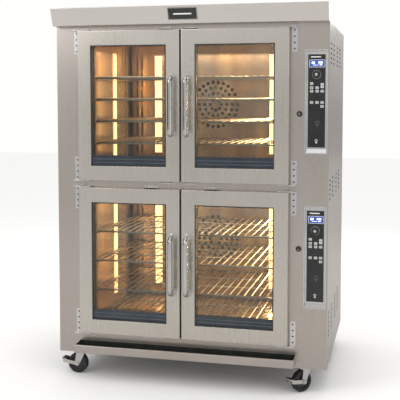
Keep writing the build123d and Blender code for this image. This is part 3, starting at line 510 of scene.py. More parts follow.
# the finish of each CAD node that stays
KEPT = {
    "panel_steel": ("front_frame", "control_column", "left_side_panel", "right_side_panel"),
    "level_steel": ("roof_panel", "back_panel", "motor_covers", "power_inlet"),
    "frame_steel": ("base_frame", "caster_plates"),
    "chamber_steel": ("chamber_liners", "air_baffles"),
    "guide_steel": ("rack_guides",),
    "bright_steel": ("control_bezels", "lamp_housings"),
    "lamp_glow": ("lamp_lenses",),
    "zinc": tuple(f"{corner}_caster_fork" for corner in TRAIL_ANGLES),
    "handle_steel": tuple(f"front_{side}_brake_pedal" for side in SIDES),
    "black_panel": ("control_overlays",),
    "board_green": ("control_electronics",),
    "mineral_wool": ("insulation",),
    "element_steel": ("heating_elements",),
    "motor_alu": ("fan_motors", "upper_fan_impeller", "lower_fan_impeller"),
    "clear_glass": tuple(f"{deck}_{side}_door_glass" for deck, side in DOORS),
}


# ---------------------------------------------------------------- what a user can change
def length_of(name, description, default):
    return bpy.props.FloatProperty(name=name, description=description, default=default, unit="LENGTH")


def colour_of(name, description, default):
    return bpy.props.FloatVectorProperty(
        name=name, description=description, default=default, subtype="COLOR")


class OvenSizes(bpy.types.PropertyGroup):
    """Sizes of the details, in metres."""

    fold: length_of("Fold radius", "Radius of the doors' front folds", 0.003)
    gasket: length_of("Gasket width", "Width of the glazing gasket", 0.0042)
    # the channel is a dark band of painted shade along the window's foot
    channel: length_of("Channel height", "Height of the channel between a door's panes", 0.05)
    rod: length_of("Rod radius", "Radius of a rack's rods", 0.0025)
    rod_pitch: length_of("Rod pitch", "Distance between a rack's rods", 0.035)
    knob_flutes: bpy.props.IntProperty(
        name="Knob flutes", description="Number of flutes round each knob", default=18)


class OvenColours(bpy.types.PropertyGroup):
    """Base colours of the main finishes and the lamps' strength."""

    steel: colour_of("Cabinet steel", "Colour of the cabinet's sheet", (0.61, 0.565, 0.535))
    door: colour_of("Door steel", "Colour of the doors' sheet", (0.73, 0.7, 0.66))
    canopy: colour_of("Canopy steel", "Colour of the canopy's sheet", (0.86, 0.84, 0.82))
    chamber: colour_of("Chamber steel", "Colour of the chambers' lining", (0.66, 0.45, 0.27))
    # the channels' near-black blue is painted shade low in each chamber
    enamel: colour_of("Channel enamel", "Colour of the channels between the panes", (0.01, 0.015, 0.034))
    lamp: colour_of("Lamp", "Colour of the oven lamps", (1.0, 0.66, 0.3))
    lamp_strength: bpy.props.FloatProperty(
        name="Lamp strength", description="Brightness of the lamps' lenses", default=1.8)
    display: colour_of("Display", "Colour of the lit displays", (0.02, 0.05, 0.24))


class OvenStep(bpy.types.Operator):
    """One step of the oven's making."""

    bl_options = {"REGISTER"}

    def execute(self, context):
        self.build(context.scene.oven_sizes)
        return {"FINISHED"}


# ---------------------------------------------------------------- steps
class OVEN_OT_finishes(OvenStep):
    """Gives every CAD node that stays its finish"""

    bl_idname, bl_label = "oven.finishes", "Finishes of kept parts"

    def build(self, sizes):
        for name, nodes in KEPT.items():
            for node in nodes:
                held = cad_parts[node].data.materials
                if not held:
                    held.append(finish(name))
                for index in range(len(held)):
                    held[index] = finish(name)


def door_of(deck, side):
    """Name, outer corners and window corners of a door, in millimetres."""
    name = f"{deck}_{side}_door"
    low, high = span(name)
    glass_low, glass_high = span(f"{name}_glass")
    low[2], high[2] = low[2] + PIN_RISE, high[2] - PIN_RISE
    margin = np.array([0.3, 3, 0.3])            # from the panes to the window's edges
    return name, low, high, glass_low - margin, glass_high + margin


class OVEN_OT_doors(OvenStep):
    """Folded door frames with hinge pins, glazing gaskets, and near-black channels between the panes along
    each window's foot, which are painted shade low in the chamber
    """

    bl_idname, bl_label = "oven.doors", "Doors"

    def build(self, sizes):
        fold, gasket, channel = sizes.fold / MM, sizes.gasket / MM, sizes.channel / MM
        pin = [(0, -26), (4, -26), (5, -25), (5, -1), (4, 0), (0, 0)]
        half_turn = np.linspace(0, math.pi, 6)
        for deck, side in DOORS:
            name, low, high, window_low, window_high = door_of(deck, side)
            front, back = low[1], high[1]
            stile, rail = window_low[0] - low[0], window_low[2] - low[2]
            door = Piece(f"{name}_frame", name, "door_steel", "bright_steel",
                         slot="door_steel", replaces=[name])
            shape = section((0, front), (stile, back), (fold, 1.0))
            door.add(around(window_low, window_high, shape, rail / stile))
            pin_x = low[0] + PIN_INSET if side == "left" else high[0] - PIN_INSET
            for tip, up in ((high[2] + PIN_RISE, Z), (low[2] - PIN_RISE, -Z)):
                door.add(turned(pin, (pin_x, (front + back) / 2, tip), up, 20), 1)
            door.make()

            # gaskets on both panes, and a black rubber strip down the closing edge that is also painted shade
            # in the gap between the doors
            seal = Piece(f"{name}_glazing_gasket", name, "seal_rubber", slot="seal_rubber")
            lips = ((front + 0.5, front + 3, (1.1, 0.2)), (back - 3, back - 0.4, (0.2, 1.1)))
            for start, end, radii in lips:
                seal.add(around(window_low, window_high, section((-gasket, start), (0.3, end), radii)))
            strip = (high[0], high[0] + 3) if side == "left" else (low[0] - 3, low[0])
            seal.add(block((strip[0], front + 14, low[2] + 2), (strip[1], front + 30, high[2] - 2), 0.6, 0.6))
            seal.make()

            # near-black channel between the panes along the window's foot: painted shade low in the chamber
            foot, near, far = window_low[2] + 0.5, front + 10.2, back - 9
            line = [(near + 4, foot + channel - 4), (near, foot + channel - 1), (near, foot + 1),
                    (far, foot + 1), (far, foot + channel * 0.8), (far - 5, foot + channel * 0.8)]
            shade_lining = Piece(f"{name}_channel", name, "sill_enamel", "seal_rubber", "channel_rib",
                           slot="black_plastic")
            ends = (window_low[0] + 0.6, window_high[0] - 0.6)
            shade_lining.add(along_x(sheet(line, 1.2, 2.0), ends))
            # two lighter ribs along the channel: painted highlight lines
            for share in (0.3, 0.62):
                rib = (near - 0.5 - 0.7 * np.sin(half_turn), foot + channel * share + np.cos(half_turn))
                shade_lining.add(along_x(np.stack(rib, 1), ends), 2)
            spacer = section((-6, front + 8.4), (0, back - 7.4), (0.4, 0.4)) * (0.5, 1)
            inset = np.array([0.4, 0, 0.4])
            shade_lining.add(around(window_low + inset, window_high - inset, spacer), 1)
            shade_lining.make()


class OVEN_OT_handles(OvenStep):
    """Tubular D handles with a round boss and collar at each foot"""

    bl_idname, bl_label = "oven.handles", "Door handles"

    def build(self, sizes):
        radius, ease, foot_inset = 11.0, 26.0, 15
        turn = np.linspace(0, math.pi / 2, 10)
        boss = [(0, 0), (15, 0), (15, 3.6), (14.2, 5), (12.6, 5.6), (12.2, 6), (0, 6)]
        collar = [(10, 6), (11.7, 6.2), (11.9, 8), (11.7, 9.6), (10, 10)]
        for deck, side in DOORS:
            name = f"{deck}_{side}_door"
            low, high = span(f"{name}_handle")
            middle, grip = (low[0] + high[0]) / 2, low[1] + radius
            foot, head = low[2] + foot_inset, high[2] - foot_inset
            leg = [(high[1] - 1, foot), (grip + ease + 2, foot)]
            elbow = np.stack([grip + ease - ease * np.sin(turn), foot + ease - ease * np.cos(turn)], 1)
            straight = np.stack([np.full(5, grip), np.linspace(foot + ease, head - ease, 7)[1:-1]], 1)
            path = np.concatenate([leg, elbow, straight])
            mirror = path[::-1] * (1, -1) + (0, foot + head)
            path = np.concatenate([path, mirror[len(straight):]])
            bar = Piece(f"{name}_handle_bar", name, "handle_steel", slot="bright_steel",
                        replaces=[f"{name}_handle"])
            bar.add(tube(np.insert(path, 0, middle, axis=1), radius, X))
            for end in (foot, head):
                for profile in (boss, collar):
                    bar.add(turned(profile, (middle, high[1], end), -Y, 32))
            bar.make()


def screw(radius=3.6, rise=2.0):
    """Profile of a pan head with a recess, from its seat up."""
    return [(0, -0.4), (radius, -0.4), (radius, rise * 0.35), (radius * 0.86, rise * 0.75),
            (radius * 0.5, rise), (radius * 0.36, rise * 0.94), (radius * 0.28, rise * 0.4), (0, rise * 0.35)]


class OVEN_OT_hinges(OvenStep):
    """Hinge leaves with arms over the doors' edges, their screws, and the catch plates"""

    bl_idname, bl_label = "oven.hinges", "Hinges and catches"

    def build(self, sizes):
        hinges = Piece("hinge_leaves", "cabinet", "bright_steel", slot="zinc", replaces=["door_hinges"])
        # dark heads on the hinge screws: painted shade round them on the bright leaves; the rear screws are
        # zinc
        heads = Piece("screw_heads", "cabinet", "dark_screw", "zinc", slot="bright_steel",
                      replaces=["screws"])
        for deck, side in DOORS:
            _, low, high, _, _ = door_of(deck, side)
            edge_x, outward = (low[0], -1) if side == "left" else (high[0], 1)
            for edge_z, up in ((high[2], 1), (low[2], -1)):
                self.hinge(hinges, heads, edge_x, edge_z, outward, up)
        hinges.make()
        self.rear_screws(heads)
        heads.make()

        catches = Piece("catches", "cabinet", "bright_steel", "dark_screw", slot="bright_steel",
                        replaces=["catch_plates"])
        half_width, thick = 34, 3
        upper_low, upper_high = door_of("upper", "left")[1:3]
        lower_low, lower_high = door_of("lower", "left")[1:3]
        rows = ((upper_high[2], 1, (-95, 15)), (upper_low[2], -1, (-95, 12)),
                (lower_high[2], 1, (-170, 112)), (lower_low[2], -1, (-78, 10)))
        for edge_z, up, middles in rows:
            near = edge_z + up
            level, rise = near + up * 1.5, near + up * 4
            lip = sheet([(FACE - 2, level), (FACE - 20, level), (FACE - 24, rise)], 2.4, 3)
            for middle in middles:
                left, right = middle - half_width, middle + half_width
                catches.add(block((left, FACE - thick, near), (right, FACE, near + up * 12), 2, 0.8))
                catches.add(along_x(lip, (left, right)))
                for shift in (-24, 24):
                    place = (middle + shift, FACE - thick, near + up * 8)
                    # dark screw heads on the catches: painted shade
                    catches.add(turned(screw(2.2, 1.2), place, -Y, 12), 1)
        catches.make()

    def hinge(self, hinges, heads, edge_x, edge_z, outward, up):
        """One hinge: a leaf on the face, a bent arm over the door's edge and a bushing at the pin."""
        near, far, end = edge_x + outward * 6, edge_x + outward * 31, edge_z + up * 5
        hinges.add(block((near, FACE - 3, end), (far, FACE, end - up * 110), 2.5, 0.7))
        arm_low, arm_high = sorted((edge_z + up, end))
        arm_left, arm_right = sorted((far, edge_x - outward * 55))
        hinges.add(plate(((arm_left + arm_right) / 2, FACE - 21.5, arm_low),
                         ((arm_right - arm_left) / 2, 18.5), arm_high - arm_low, (X, Y, Z), 7, 0.8))
        bushing = [(5.3, 0), (9, 0), (9, 1.2), (8, 1.8), (5.3, 1.8)]
        hinges.add(turned(bushing, (edge_x - outward * PIN_INSET, FACE - 25, end), up * Z, 24))
        for step in range(4):
            place = (edge_x + outward * 18.5, FACE - 3, edge_z - up * (10 + step * 27))
            heads.add(turned(screw(3.9, 2.0), place, -Y, 16))

    def rear_screws(self, heads):
        """Panel screws on the back in rows, and four to each motor cover."""
        low, high = span("back_panel")
        head = turned(screw(5, 3), (0, 0, 0), Y, 14)
        for height in (low[2] + 25, 560, 900, 1275, high[2] - 23):
            for across in (low[0] + 25, -260, 210, high[0] - 25):
                heads.add(head, 1, [(across, BACK, height)])
        cover_low, cover_high = span("motor_covers")
        small = turned(screw(5, 1.8), (0, 0, 0), Y, 14)
        for deck in DECKS:
            for across in (cover_low[0] + 14, cover_high[0] - 14):
                for shift in (-126, 126):
                    heads.add(small, 1, [(across, cover_high[1] - 1.9, fan_centre(deck)[2] + shift)])


class OVEN_OT_seals(OvenStep):
    """Hollow rubber seals round each chamber's mouth"""

    bl_idname, bl_label = "oven.seals", "Door seals"

    def build(self, sizes):
        low, high = span("door_seals")
        crown, width = low[1], 9
        seals = Piece("mouth_seals", "cabinet", "seal_rubber", slot="seal_rubber", replaces=["door_seals"])
        lobe = [(0, high[1]), (0, crown + 1.5), (1.2, crown + 0.3), (3.4, crown + 0.2), (4.5, crown + 1.4),
                (5.6, crown + 0.2), (7.8, crown + 0.3), (width, crown + 1.5), (width, high[1])]
        for deck in DECKS:
            _, door_low, door_high, _, _ = door_of(deck, "left")
            inner_low = (low[0] + width, 0, door_low[2] + 23)
            inner_high = (high[0] - width, 0, door_high[2] - 23)
            seals.add(around(inner_low, inner_high, lobe))
        seals.make()


class OVEN_OT_canopy(OvenStep):
    """Sloped canopy with a hemmed brow, its cheeks and rear wall, and a blank name plate"""

    bl_idname, bl_label = "oven.canopy", "Canopy and name plate"

    def build(self, sizes):
        low, high = span("front_canopy")
        foot, brow, rear, top, floor = FACE - 45, low[1], high[1], high[2], BODY_TOP
        lean = (foot - brow) / (top - floor)
        canopy = Piece("canopy_sheets", "cabinet", "canopy_steel", slot="stainless",
                       replaces=["front_canopy"])
        fascia = [(rear - 1, floor + 1), (foot + 1, floor + 1), (brow + 1.1, top - 1), (brow + 18, top - 1),
                  (brow + 18, top - 12)]
        wall = [(rear - 1, floor + 2.5), (rear - 1, top - 1), (rear - 14, top - 1), (rear - 14, top - 9)]
        cheek = [(foot + 2.6, floor + 2.1), (rear - 0.2, floor + 2.1), (rear - 0.2, top - 2.1),
                 (brow + 2.6 + lean, top - 2.1)]
        canopy.add(along_x(sheet(fascia, 1.9, 3.0), (LEFT, RIGHT)))
        canopy.add(along_x(sheet(wall, 1.8, 2.5), (LEFT + 2.5, RIGHT - 2.5)))
        for start in (LEFT + 0.3, RIGHT - 2.3):
            canopy.add(along_x(cheek, (start, start + 2)))
        canopy.make()

        name_low, name_high = span("nameplate")
        slope = np.array((0, -lean, 1)) / math.hypot(lean, 1)
        outward = np.array((0, -1, -lean)) / math.hypot(lean, 1)
        middle = (name_low + name_high) / 2
        middle[1] = foot - lean * (middle[2] - floor)
        width, height = (name_high - name_low)[[0, 2]] / 2
        height *= math.hypot(lean, 1) * 0.985
        axes, face = (X, slope, outward), middle + outward * 1.1
        sign = Piece("name_plate_blank", "cabinet", "name_black", "bright_steel", "mark_white",
                     slot="black_panel", replaces=["nameplate"])
        sign.add(plate(middle - outward * 0.4, (width, height), 1.7, axes, 3, 0.5))
        sign.add(rim(face, (width - 3.4, height - 3.4), 2.4, 0.75, axes, 2), 1)
        sign.add(plate(face - slope, (width * 0.62, 3.2), 0.5, axes, 3.2, 0.2), 2)
        sign.make()


PANEL_HEIGHT = 447              # of one control panel's bezel; the upper one hangs from the bezels' top


class OVEN_OT_panels(OvenStep):
    """Bezel trims, printed marks, lit displays and membrane keys of both control panels"""

    bl_idname, bl_label = "oven.panels", "Control panels"

    def build(self, sizes):
        bezel_low, bezel_high = span("control_bezels")
        over_low, over_high = span("control_overlays")
        face, middle = over_low[1], (over_low[0] + over_high[0]) / 2
        edge = (over_high[0] - over_low[0]) / 2 - 1.4
        bezel_middle, bezel_half = (bezel_low[0] + bezel_high[0]) / 2, (bezel_high[0] - bezel_low[0]) / 2
        trims = Piece("bezel_trims", "cabinet", "bright_steel", slot="bright_steel")
        marks = Piece("panel_marks", "cabinet", "mark_white", "mark_grey", slot="key_grey")
        screens = Piece("display_windows", "cabinet", "display_blue", "mark_white", "display_white",
                        slot="display_blue", replaces=["displays"])
        keys = Piece("membrane_keys", "cabinet", "key_grey", "black_panel", slot="key_grey",
                     replaces=["keypads"])
        for low in (bezel_high[2] - PANEL_HEIGHT, bezel_low[2]):
            centre = (bezel_middle, FACE, low + PANEL_HEIGHT / 2)
            trims.add(rim(centre, (bezel_half - 1.5, 222), 5.5, 1.5, corner=2.5))
            marks.add(rim((middle, face, low + 228), (edge, 201.5), 0.7, 0.25, corner=3), 1)
            # plain strip at the head, a ring mark lower down and a lamp mark near the foot
            marks.add(plate((middle - 4, face + 0.1, low + 419.5), (22, 2.4), 0.35, corner=1, edge=0.1))
            marks.add(rim((middle + 4, face, low + 133), (7, 7), 1.5, 0.3, corner=7), 1)
            marks.add(plate((middle + 4, face + 0.1, low + 120), (1.2, 4), 0.3, corner=1, edge=0.1), 1)
            marks.add(rim((middle, face, low + 55), (4, 4), 1.9, 0.35, corner=4))
            marks.add(plate((middle, face + 0.1, low + 46), (3.4, 2.2), 0.4, corner=1, edge=0.1))
            self.display(screens, low, face)
            self.keypad(keys, marks, low, face)
        for piece in (trims, marks, screens, keys):
            piece.make()

    def display(self, screens, low, face):
        """Screen in a pale frame with four plain lit patches."""
        left, right = (corner[0] for corner in span("displays"))
        centre = np.array([(left + right) / 2, face, low + 391])
        half = ((right - left) / 2 - 2.4, 14.6)
        screens.add(plate(centre + Y * 0.2, half, 0.8, corner=1.5, edge=0.2))
        screens.add(rim(centre, half, 2.2, 0.9, corner=1.5), 1)
        for across, up, size in ((-17, 3, (7, 5)), (14, 4, (10, 4.2)), (16, -6, (6, 2.2)), (-6, -7, (12, 1))):
            screens.add(plate(centre + (across, -0.55, up), size, 0.3, corner=1.2, edge=0.1), 2)

    def keypad(self, keys, marks, low, face):
        """Keys in three columns and two groups, each with a small plain glyph; one key is tall."""
        columns, tall_key = (552, 576, 598), (2, 295)
        rows = ((0, 304), (0, 286), (0, 271), (1, 286), (1, 271), tall_key, (2, 271),
                (0, 222), (1, 222), (2, 222), (2, 205))
        for index, (column, height) in enumerate(rows):
            tall = 11 if (column, height) == tall_key else 5.5
            centre = np.array([columns[column], face, low + height])
            raised = centre - Y * 0.6
            keys.add(plate(centre, (7, tall), 0.7, corner=2.4, edge=0.35))
            if index % 3 == 0:
                keys.add(rim(raised, (2.1, 2.1), 1.0, 0.25, corner=2.1, steps=3), 1)
            elif index % 3 == 1:
                for size in ((3.6, 0.8), (0.8, 3.0)):
                    keys.add(plate(raised, size, 0.3, corner=0.5, edge=0.1, steps=2), 1)
            else:
                for shift in (-1.5, 1.5):
                    keys.add(plate(raised + Z * shift, (3.4, 0.6), 0.3, corner=0.4, edge=0.1, steps=2), 1)
            marks.add(rim(centre, (7.6, tall + 0.6), 0.6, 0.25, corner=2.8, steps=3), 1)


class OVEN_OT_knobs(OvenStep):
    """Fluted rotary knobs with a ring and a bright cap, and the two light switches"""

    bl_idname, bl_label = "oven.knobs", "Knobs and switches"

    def build(self, sizes):
        rings = Piece("switch_ring_nuts", "cabinet", "black_plastic", "mark_grey", slot="black_plastic")
        for deck in DECKS:
            self.knob(deck, sizes.knob_flutes)
            self.switch(deck, rings)
        rings.make()

    def knob(self, deck, flutes):
        """Skirt, ring, fluted grip, cap, pointer mark and shaft, all on one axis."""
        low, high = span(f"{deck}_knob")
        face = span("control_overlays")[0][1] - 0.3
        centre = np.array([(low[0] + high[0]) / 2, face, (low[2] + high[2]) / 2])
        radius, reach = (high[2] - low[2]) / 2, face - low[1]
        skirt = [(0, 0), (radius - 0.6, 0), (radius, 0.6), (radius, 2.4), (radius - 1.2, 3.8), (0, 4)]
        ring = [(radius - 1.6, 3.2), (radius - 1.7, 4.1), (radius - 3, 4.3), (radius - 3.2, 3.4)]
        grip = [(0, 3.5), (radius - 3, 3.6), (radius - 3.4, reach - 2.2), (radius - 5, reach - 0.4),
                (radius - 7, reach), (7, reach - 0.5), (6.5, reach - 1.4), (0, reach - 1.6)]
        cap = [(0, reach - 1.7), (6.2, reach - 1.6), (6, reach - 0.7), (3, reach - 0.3), (0, reach - 0.2)]
        shaft = [(0, 0.2), (3, 0.2), (3, -24), (0, -24)]
        knob = Piece(f"{deck}_knob_turned", f"{deck}_knob", "black_plastic", "mark_grey", "bright_steel",
                     "knob_grey", slot="black_plastic", replaces=[f"{deck}_knob"])
        knob.add(turned(skirt, centre, -Y, 48), 3)
        knob.add(turned(ring, centre, -Y, 48), 1)
        knob.add(turned(grip, centre, -Y, 144, flutes, 0.045))
        knob.add(turned(cap, centre, -Y, 24), 2)
        pointer = centre + (0, 0.9 - reach, radius - 8.2)
        knob.add(plate(pointer, (0.9, 3.2), 0.7, corner=0.8, edge=0.2), 1)
        knob.add(turned(shaft, centre, -Y, 16), 2)
        knob.make()

    def switch(self, deck, rings):
        """Bat lever that tilts in front of the face, and the washer, nut and bushing it comes out of."""
        low, high = span(f"{deck}_light_switch")
        across, up = (low[0] + high[0]) / 2, (low[2] + high[2]) / 2
        seat, pivot = (across, FACE, up), (across, FACE + 4, up)
        tip, end_radius = pivot[1] - low[1], 3.2
        turn = np.linspace(0, math.pi / 2, 6)
        stem = [(0, -3.6), (2, -3.1), (3.4, -1.2), (3.4, 1.2), (1.9, 3.2), (2.1, 10)]
        end = np.stack([end_radius * np.cos(turn), tip - end_radius + end_radius * np.sin(turn)], 1)
        lever = Piece(f"{deck}_switch_lever", f"{deck}_light_switch", "handle_steel", slot="bright_steel",
                      replaces=[f"{deck}_light_switch"])
        lever.add(turned(np.concatenate([stem, end, [(0, tip)]]), pivot, -Y, 20))
        lever.make()
        washer = [(6.1, 0.2), (13, 0.2), (13, 1), (12.2, 1.6), (9.2, 1.8), (9.2, 0.2)]
        nut = [(6.05, 0), (10.6, 0), (10.6, 3.9), (9.6, 4.8), (6.05, 4.8)]
        bushing = [(5.1, 2), (6.3, 2), (6.3, 6.6), (5.8, 7), (5.1, 7)]
        for profile, steps, mark in ((washer, 32, 0), (nut, 6, 0), (bushing, 28, 1)):
            rings.add(turned(profile, seat, -Y, steps), mark)


class OVEN_OT_racks(OvenStep):
    """Wire racks: rods with rounded ends on a frame of flat and round bars"""

    bl_idname, bl_label = "oven.racks", "Wire racks"

    def build(self, sizes):
        rod, pitch = sizes.rod / MM, sizes.rod_pitch / MM
        drop, top, levels, rods = 9.5, 2.5, 5, 26
        for deck in DECKS:
            low, high = span(f"{deck}_racks")
            deep, middle, half = high[1] - low[1], (low[0] + high[0]) / 2, (high[0] - low[0]) / 2
            heights = np.linspace(low[2] + drop, high[2] - top, levels)
            across = middle + (np.arange(rods) - (rods - 1) / 2) * pitch
            # rods in a darkened finish: painted shade, as silhouettes against the lit chamber
            racks = Piece(f"{deck}_wire_racks", "cabinet", "wire_steel", slot="bright_steel",
                          replaces=[f"{deck}_racks"])
            wire = [(0, 0), (rod * 0.7, 0.5), (rod, 1.8), (rod, deep - 1.8), (rod * 0.7, deep - 0.5),
                    (0, deep)]
            racks.add(turned(wire, (0, 0, 0), Y, 8), 0, [(x, low[1], z) for z in heights for x in across])
            bar = [(0, -half), (3.2, -half + 0.6), (3.2, half - 0.6), (0, half)]
            for z in heights:
                for y in (low[1], high[1] - 5):
                    racks.add(block((low[0], y, z - drop), (high[0], y + 5, z - 1.5), 1.5, 1.2))
                for share in (1 / 3, 2 / 3):
                    racks.add(turned(bar, (middle, low[1] + 2.5 + share * (deep - 5), z - 5.2), X, 10))
            racks.make()


class OVEN_OT_trough(OvenStep):
    """Drip trough bent from one sheet with a hemmed lip, its closed ends, and a near-black sheet inside that
    is painted shade
    """

    bl_idname, bl_label = "oven.trough", "Drip trough"

    def build(self, sizes):
        (left, front, foot), (right, back, top) = span("drip_trough")
        lip = foot + 38
        trough = Piece("trough_sheet", "drip_trough", "level_steel", "trough_black", slot="stainless",
                       replaces=["drip_trough"])
        line = [(front + 10, lip - 7), (front + 10, lip - 1), (front + 1, lip - 1), (front + 1, foot + 1),
                (back - 1, foot + 1), (back - 1, top)]
        end = [(front + 2, foot), (back, foot), (back, top), (front + 60, lip + 1), (front + 3, lip),
               (front, lip - 3), (front, foot + 2)]
        # near-black sheet lining the trough: painted shade inside its open top
        shaded_inside = [(front + 2.3, lip - 6), (front + 2.3, foot + 2.3), (back - 2.3, foot + 2.3),
                  (back - 2.3, top - 1)]
        trough.add(along_x(sheet(line, 1.8, 3.0), (left + 2.1, right - 2.1)))
        for start in (left, right - 2):
            trough.add(along_x(end, (start, start + 2)))
        trough.add(along_x(sheet(shaded_inside, 0.6, 3.0), (left + 2.2, right - 2.2)), 1)
        trough.make()


def both_sides(half):
    """Closed profile: a half with heights below zero, its mirror image, and the first point again."""
    return half + [(radius, -height) for radius, height in half[::-1]] + half[:1]


class OVEN_OT_casters(OvenStep):
    """Caster wheels with tyre, hub and bearing cap, and ribbed treads on the brake pedals"""

    bl_idname, bl_label = "oven.casters", "Casters"

    def build(self, sizes):
        tyre = both_sides([(35, -12), (35, -15), (37, -16), (42, -16), (46.2, -14.2), (47.7, -10), (48, -4)])
        hub = both_sides([(5.05, -16), (10, -16), (12, -15), (12.5, -9), (15, -7), (30, -6), (33, -9),
                          (34, -13), (35.5, -13)])
        cap = [(5.1, 15.2), (9.5, 15.6), (9.5, 16), (5.1, 16), (5.1, 15.2)]
        for corner, angle in TRAIL_ANGLES.items():
            middle = np.add(*span(f"{corner}_caster_wheel")) / 2
            trail = np.array([math.cos(math.radians(angle)), math.sin(math.radians(angle)), 0])
            axle = np.array([trail[1], -trail[0], 0])
            wheel = Piece(f"{corner}_wheel_turned", f"{corner}_wheel", "tyre_rubber", "hub_plastic", "zinc",
                          slot="tyre_rubber", replaces=[f"{corner}_caster_wheel"])
            wheel.add(turned(tyre, middle, axle, 64))
            wheel.add(turned(hub, middle, axle, 40), 1)
            for outward in (axle, -axle):
                wheel.add(turned(cap, middle, outward, 24), 2)
            wheel.make()
            if corner.startswith("front"):
                self.tread(corner, middle, trail, axle)

    def tread(self, corner, middle, trail, axle):
        """Pad with four ribs on a brake pedal, tilted up by 4 in 22 along the caster's trail."""
        tilt = trail + Z * (4 / 22)
        tilt /= np.linalg.norm(tilt)
        upward = np.cross(tilt, axle)
        upward *= np.sign(upward[2])
        seat, axes = middle + trail * 65 + Z * 20, (tilt, axle, upward)
        pad = Piece(f"{corner}_pedal_tread", f"{corner}_pedal", "black_plastic", slot="black_plastic")
        pad.add(plate(seat - upward * 0.5, (10.5, 20), 2.2, axes, 2, 0.6))
        for shift in (-7.5, -2.5, 2.5, 7.5):
            pad.add(plate(seat + tilt * shift + upward * 1.4, (1, 18), 1.3, axes, 1, 0.5))
        pad.make()


def slot_rim(long, height, depth, flip):
    """Rolled edge round a vent slot: a quarter-round profile carried round the slot's outline."""
    shape, outward = outline((long / 2, height / 2), height / 2, 3)
    turn = np.linspace(0, math.pi / 2, 3)
    profile = np.concatenate([np.stack([1.6 - 1.6 * np.sin(turn), depth * (1 - np.cos(turn))], 1),
                              [(-0.3, depth), (-0.3, depth * 0.6)]])
    profile[:, 0] -= 1.3
    u, w = (Y, -X) if flip else (X, -Y)
    path = shape[:, :1] * u + shape[:, 1:] * Z
    return carry(profile, path, outward[:, :1] * u + outward[:, 1:] * Z, w, closed=True)


class OVEN_OT_vents(OvenStep):
    """Rolled rims round every vent slot of the side, back and motor covers, the side's rims dark with painted
    shade, and black plates of painted shade behind the side and back slots
    """

    bl_idname, bl_label = "oven.vents", "Vent rims"

    def build(self, sizes):
        pitch, banks, depths = 21, ((90, 5), (694, 5), (1290, 6)), (83, 228, 432, 591)
        rear_x, rear_heights, rear_rows = 540, (300, 900, 1450), 6
        # the side's rims are dark: painted shade on the punched slots' edges
        side = Piece("side_vent_rims", "cabinet", "dark_screw", slot="stainless")
        heights = [BODY_TOP - first - row * pitch for first, rows in banks for row in range(rows)]
        places = [(RIGHT, FACE + depth, z) for depth in depths for z in heights]
        side.add(slot_rim(60, 9, 2, True), 0, places)
        side.make()

        # black plates behind the side and back slots: painted shade inside the vents
        screens = Piece("vent_screens", "cabinet", "vent_black", slot="black_plastic")
        for first, rows in banks:
            reach = (rows - 1) * pitch / 2
            for depth in depths:
                centre = (RIGHT - 3.2, FACE + depth, BODY_TOP - first - reach)
                screens.add(plate(centre, (35, reach + 8), 1.0, (Y, Z, X), 3, 0.3))
        reach = (rear_rows - 1) * pitch / 2
        for middle in rear_heights:
            screens.add(plate((rear_x, BACK - 4, middle), (60, reach + 8), 1.0, (-X, Z, Y), 3, 0.3))
        screens.make()

        rear = Piece("rear_vent_rims", "cabinet", "level_steel", slot="stainless")
        places = [(rear_x, BACK, middle + row * pitch - reach) for middle in rear_heights
                  for row in range(rear_rows)]
        rear.add(slot_rim(110, 9, 5, False), 0, places)
        cover_low, cover_high = span("motor_covers")
        cover_x = (cover_low[0] + cover_high[0]) / 2
        places = [(cover_x + shift, cover_high[1], fan_centre(deck)[2] + row * 24)
                  for deck in DECKS for shift in (-55, 55) for row in range(-3, 4)]
        rear.add(slot_rim(90, 9, 4, False), 0, places)
        rear.make()


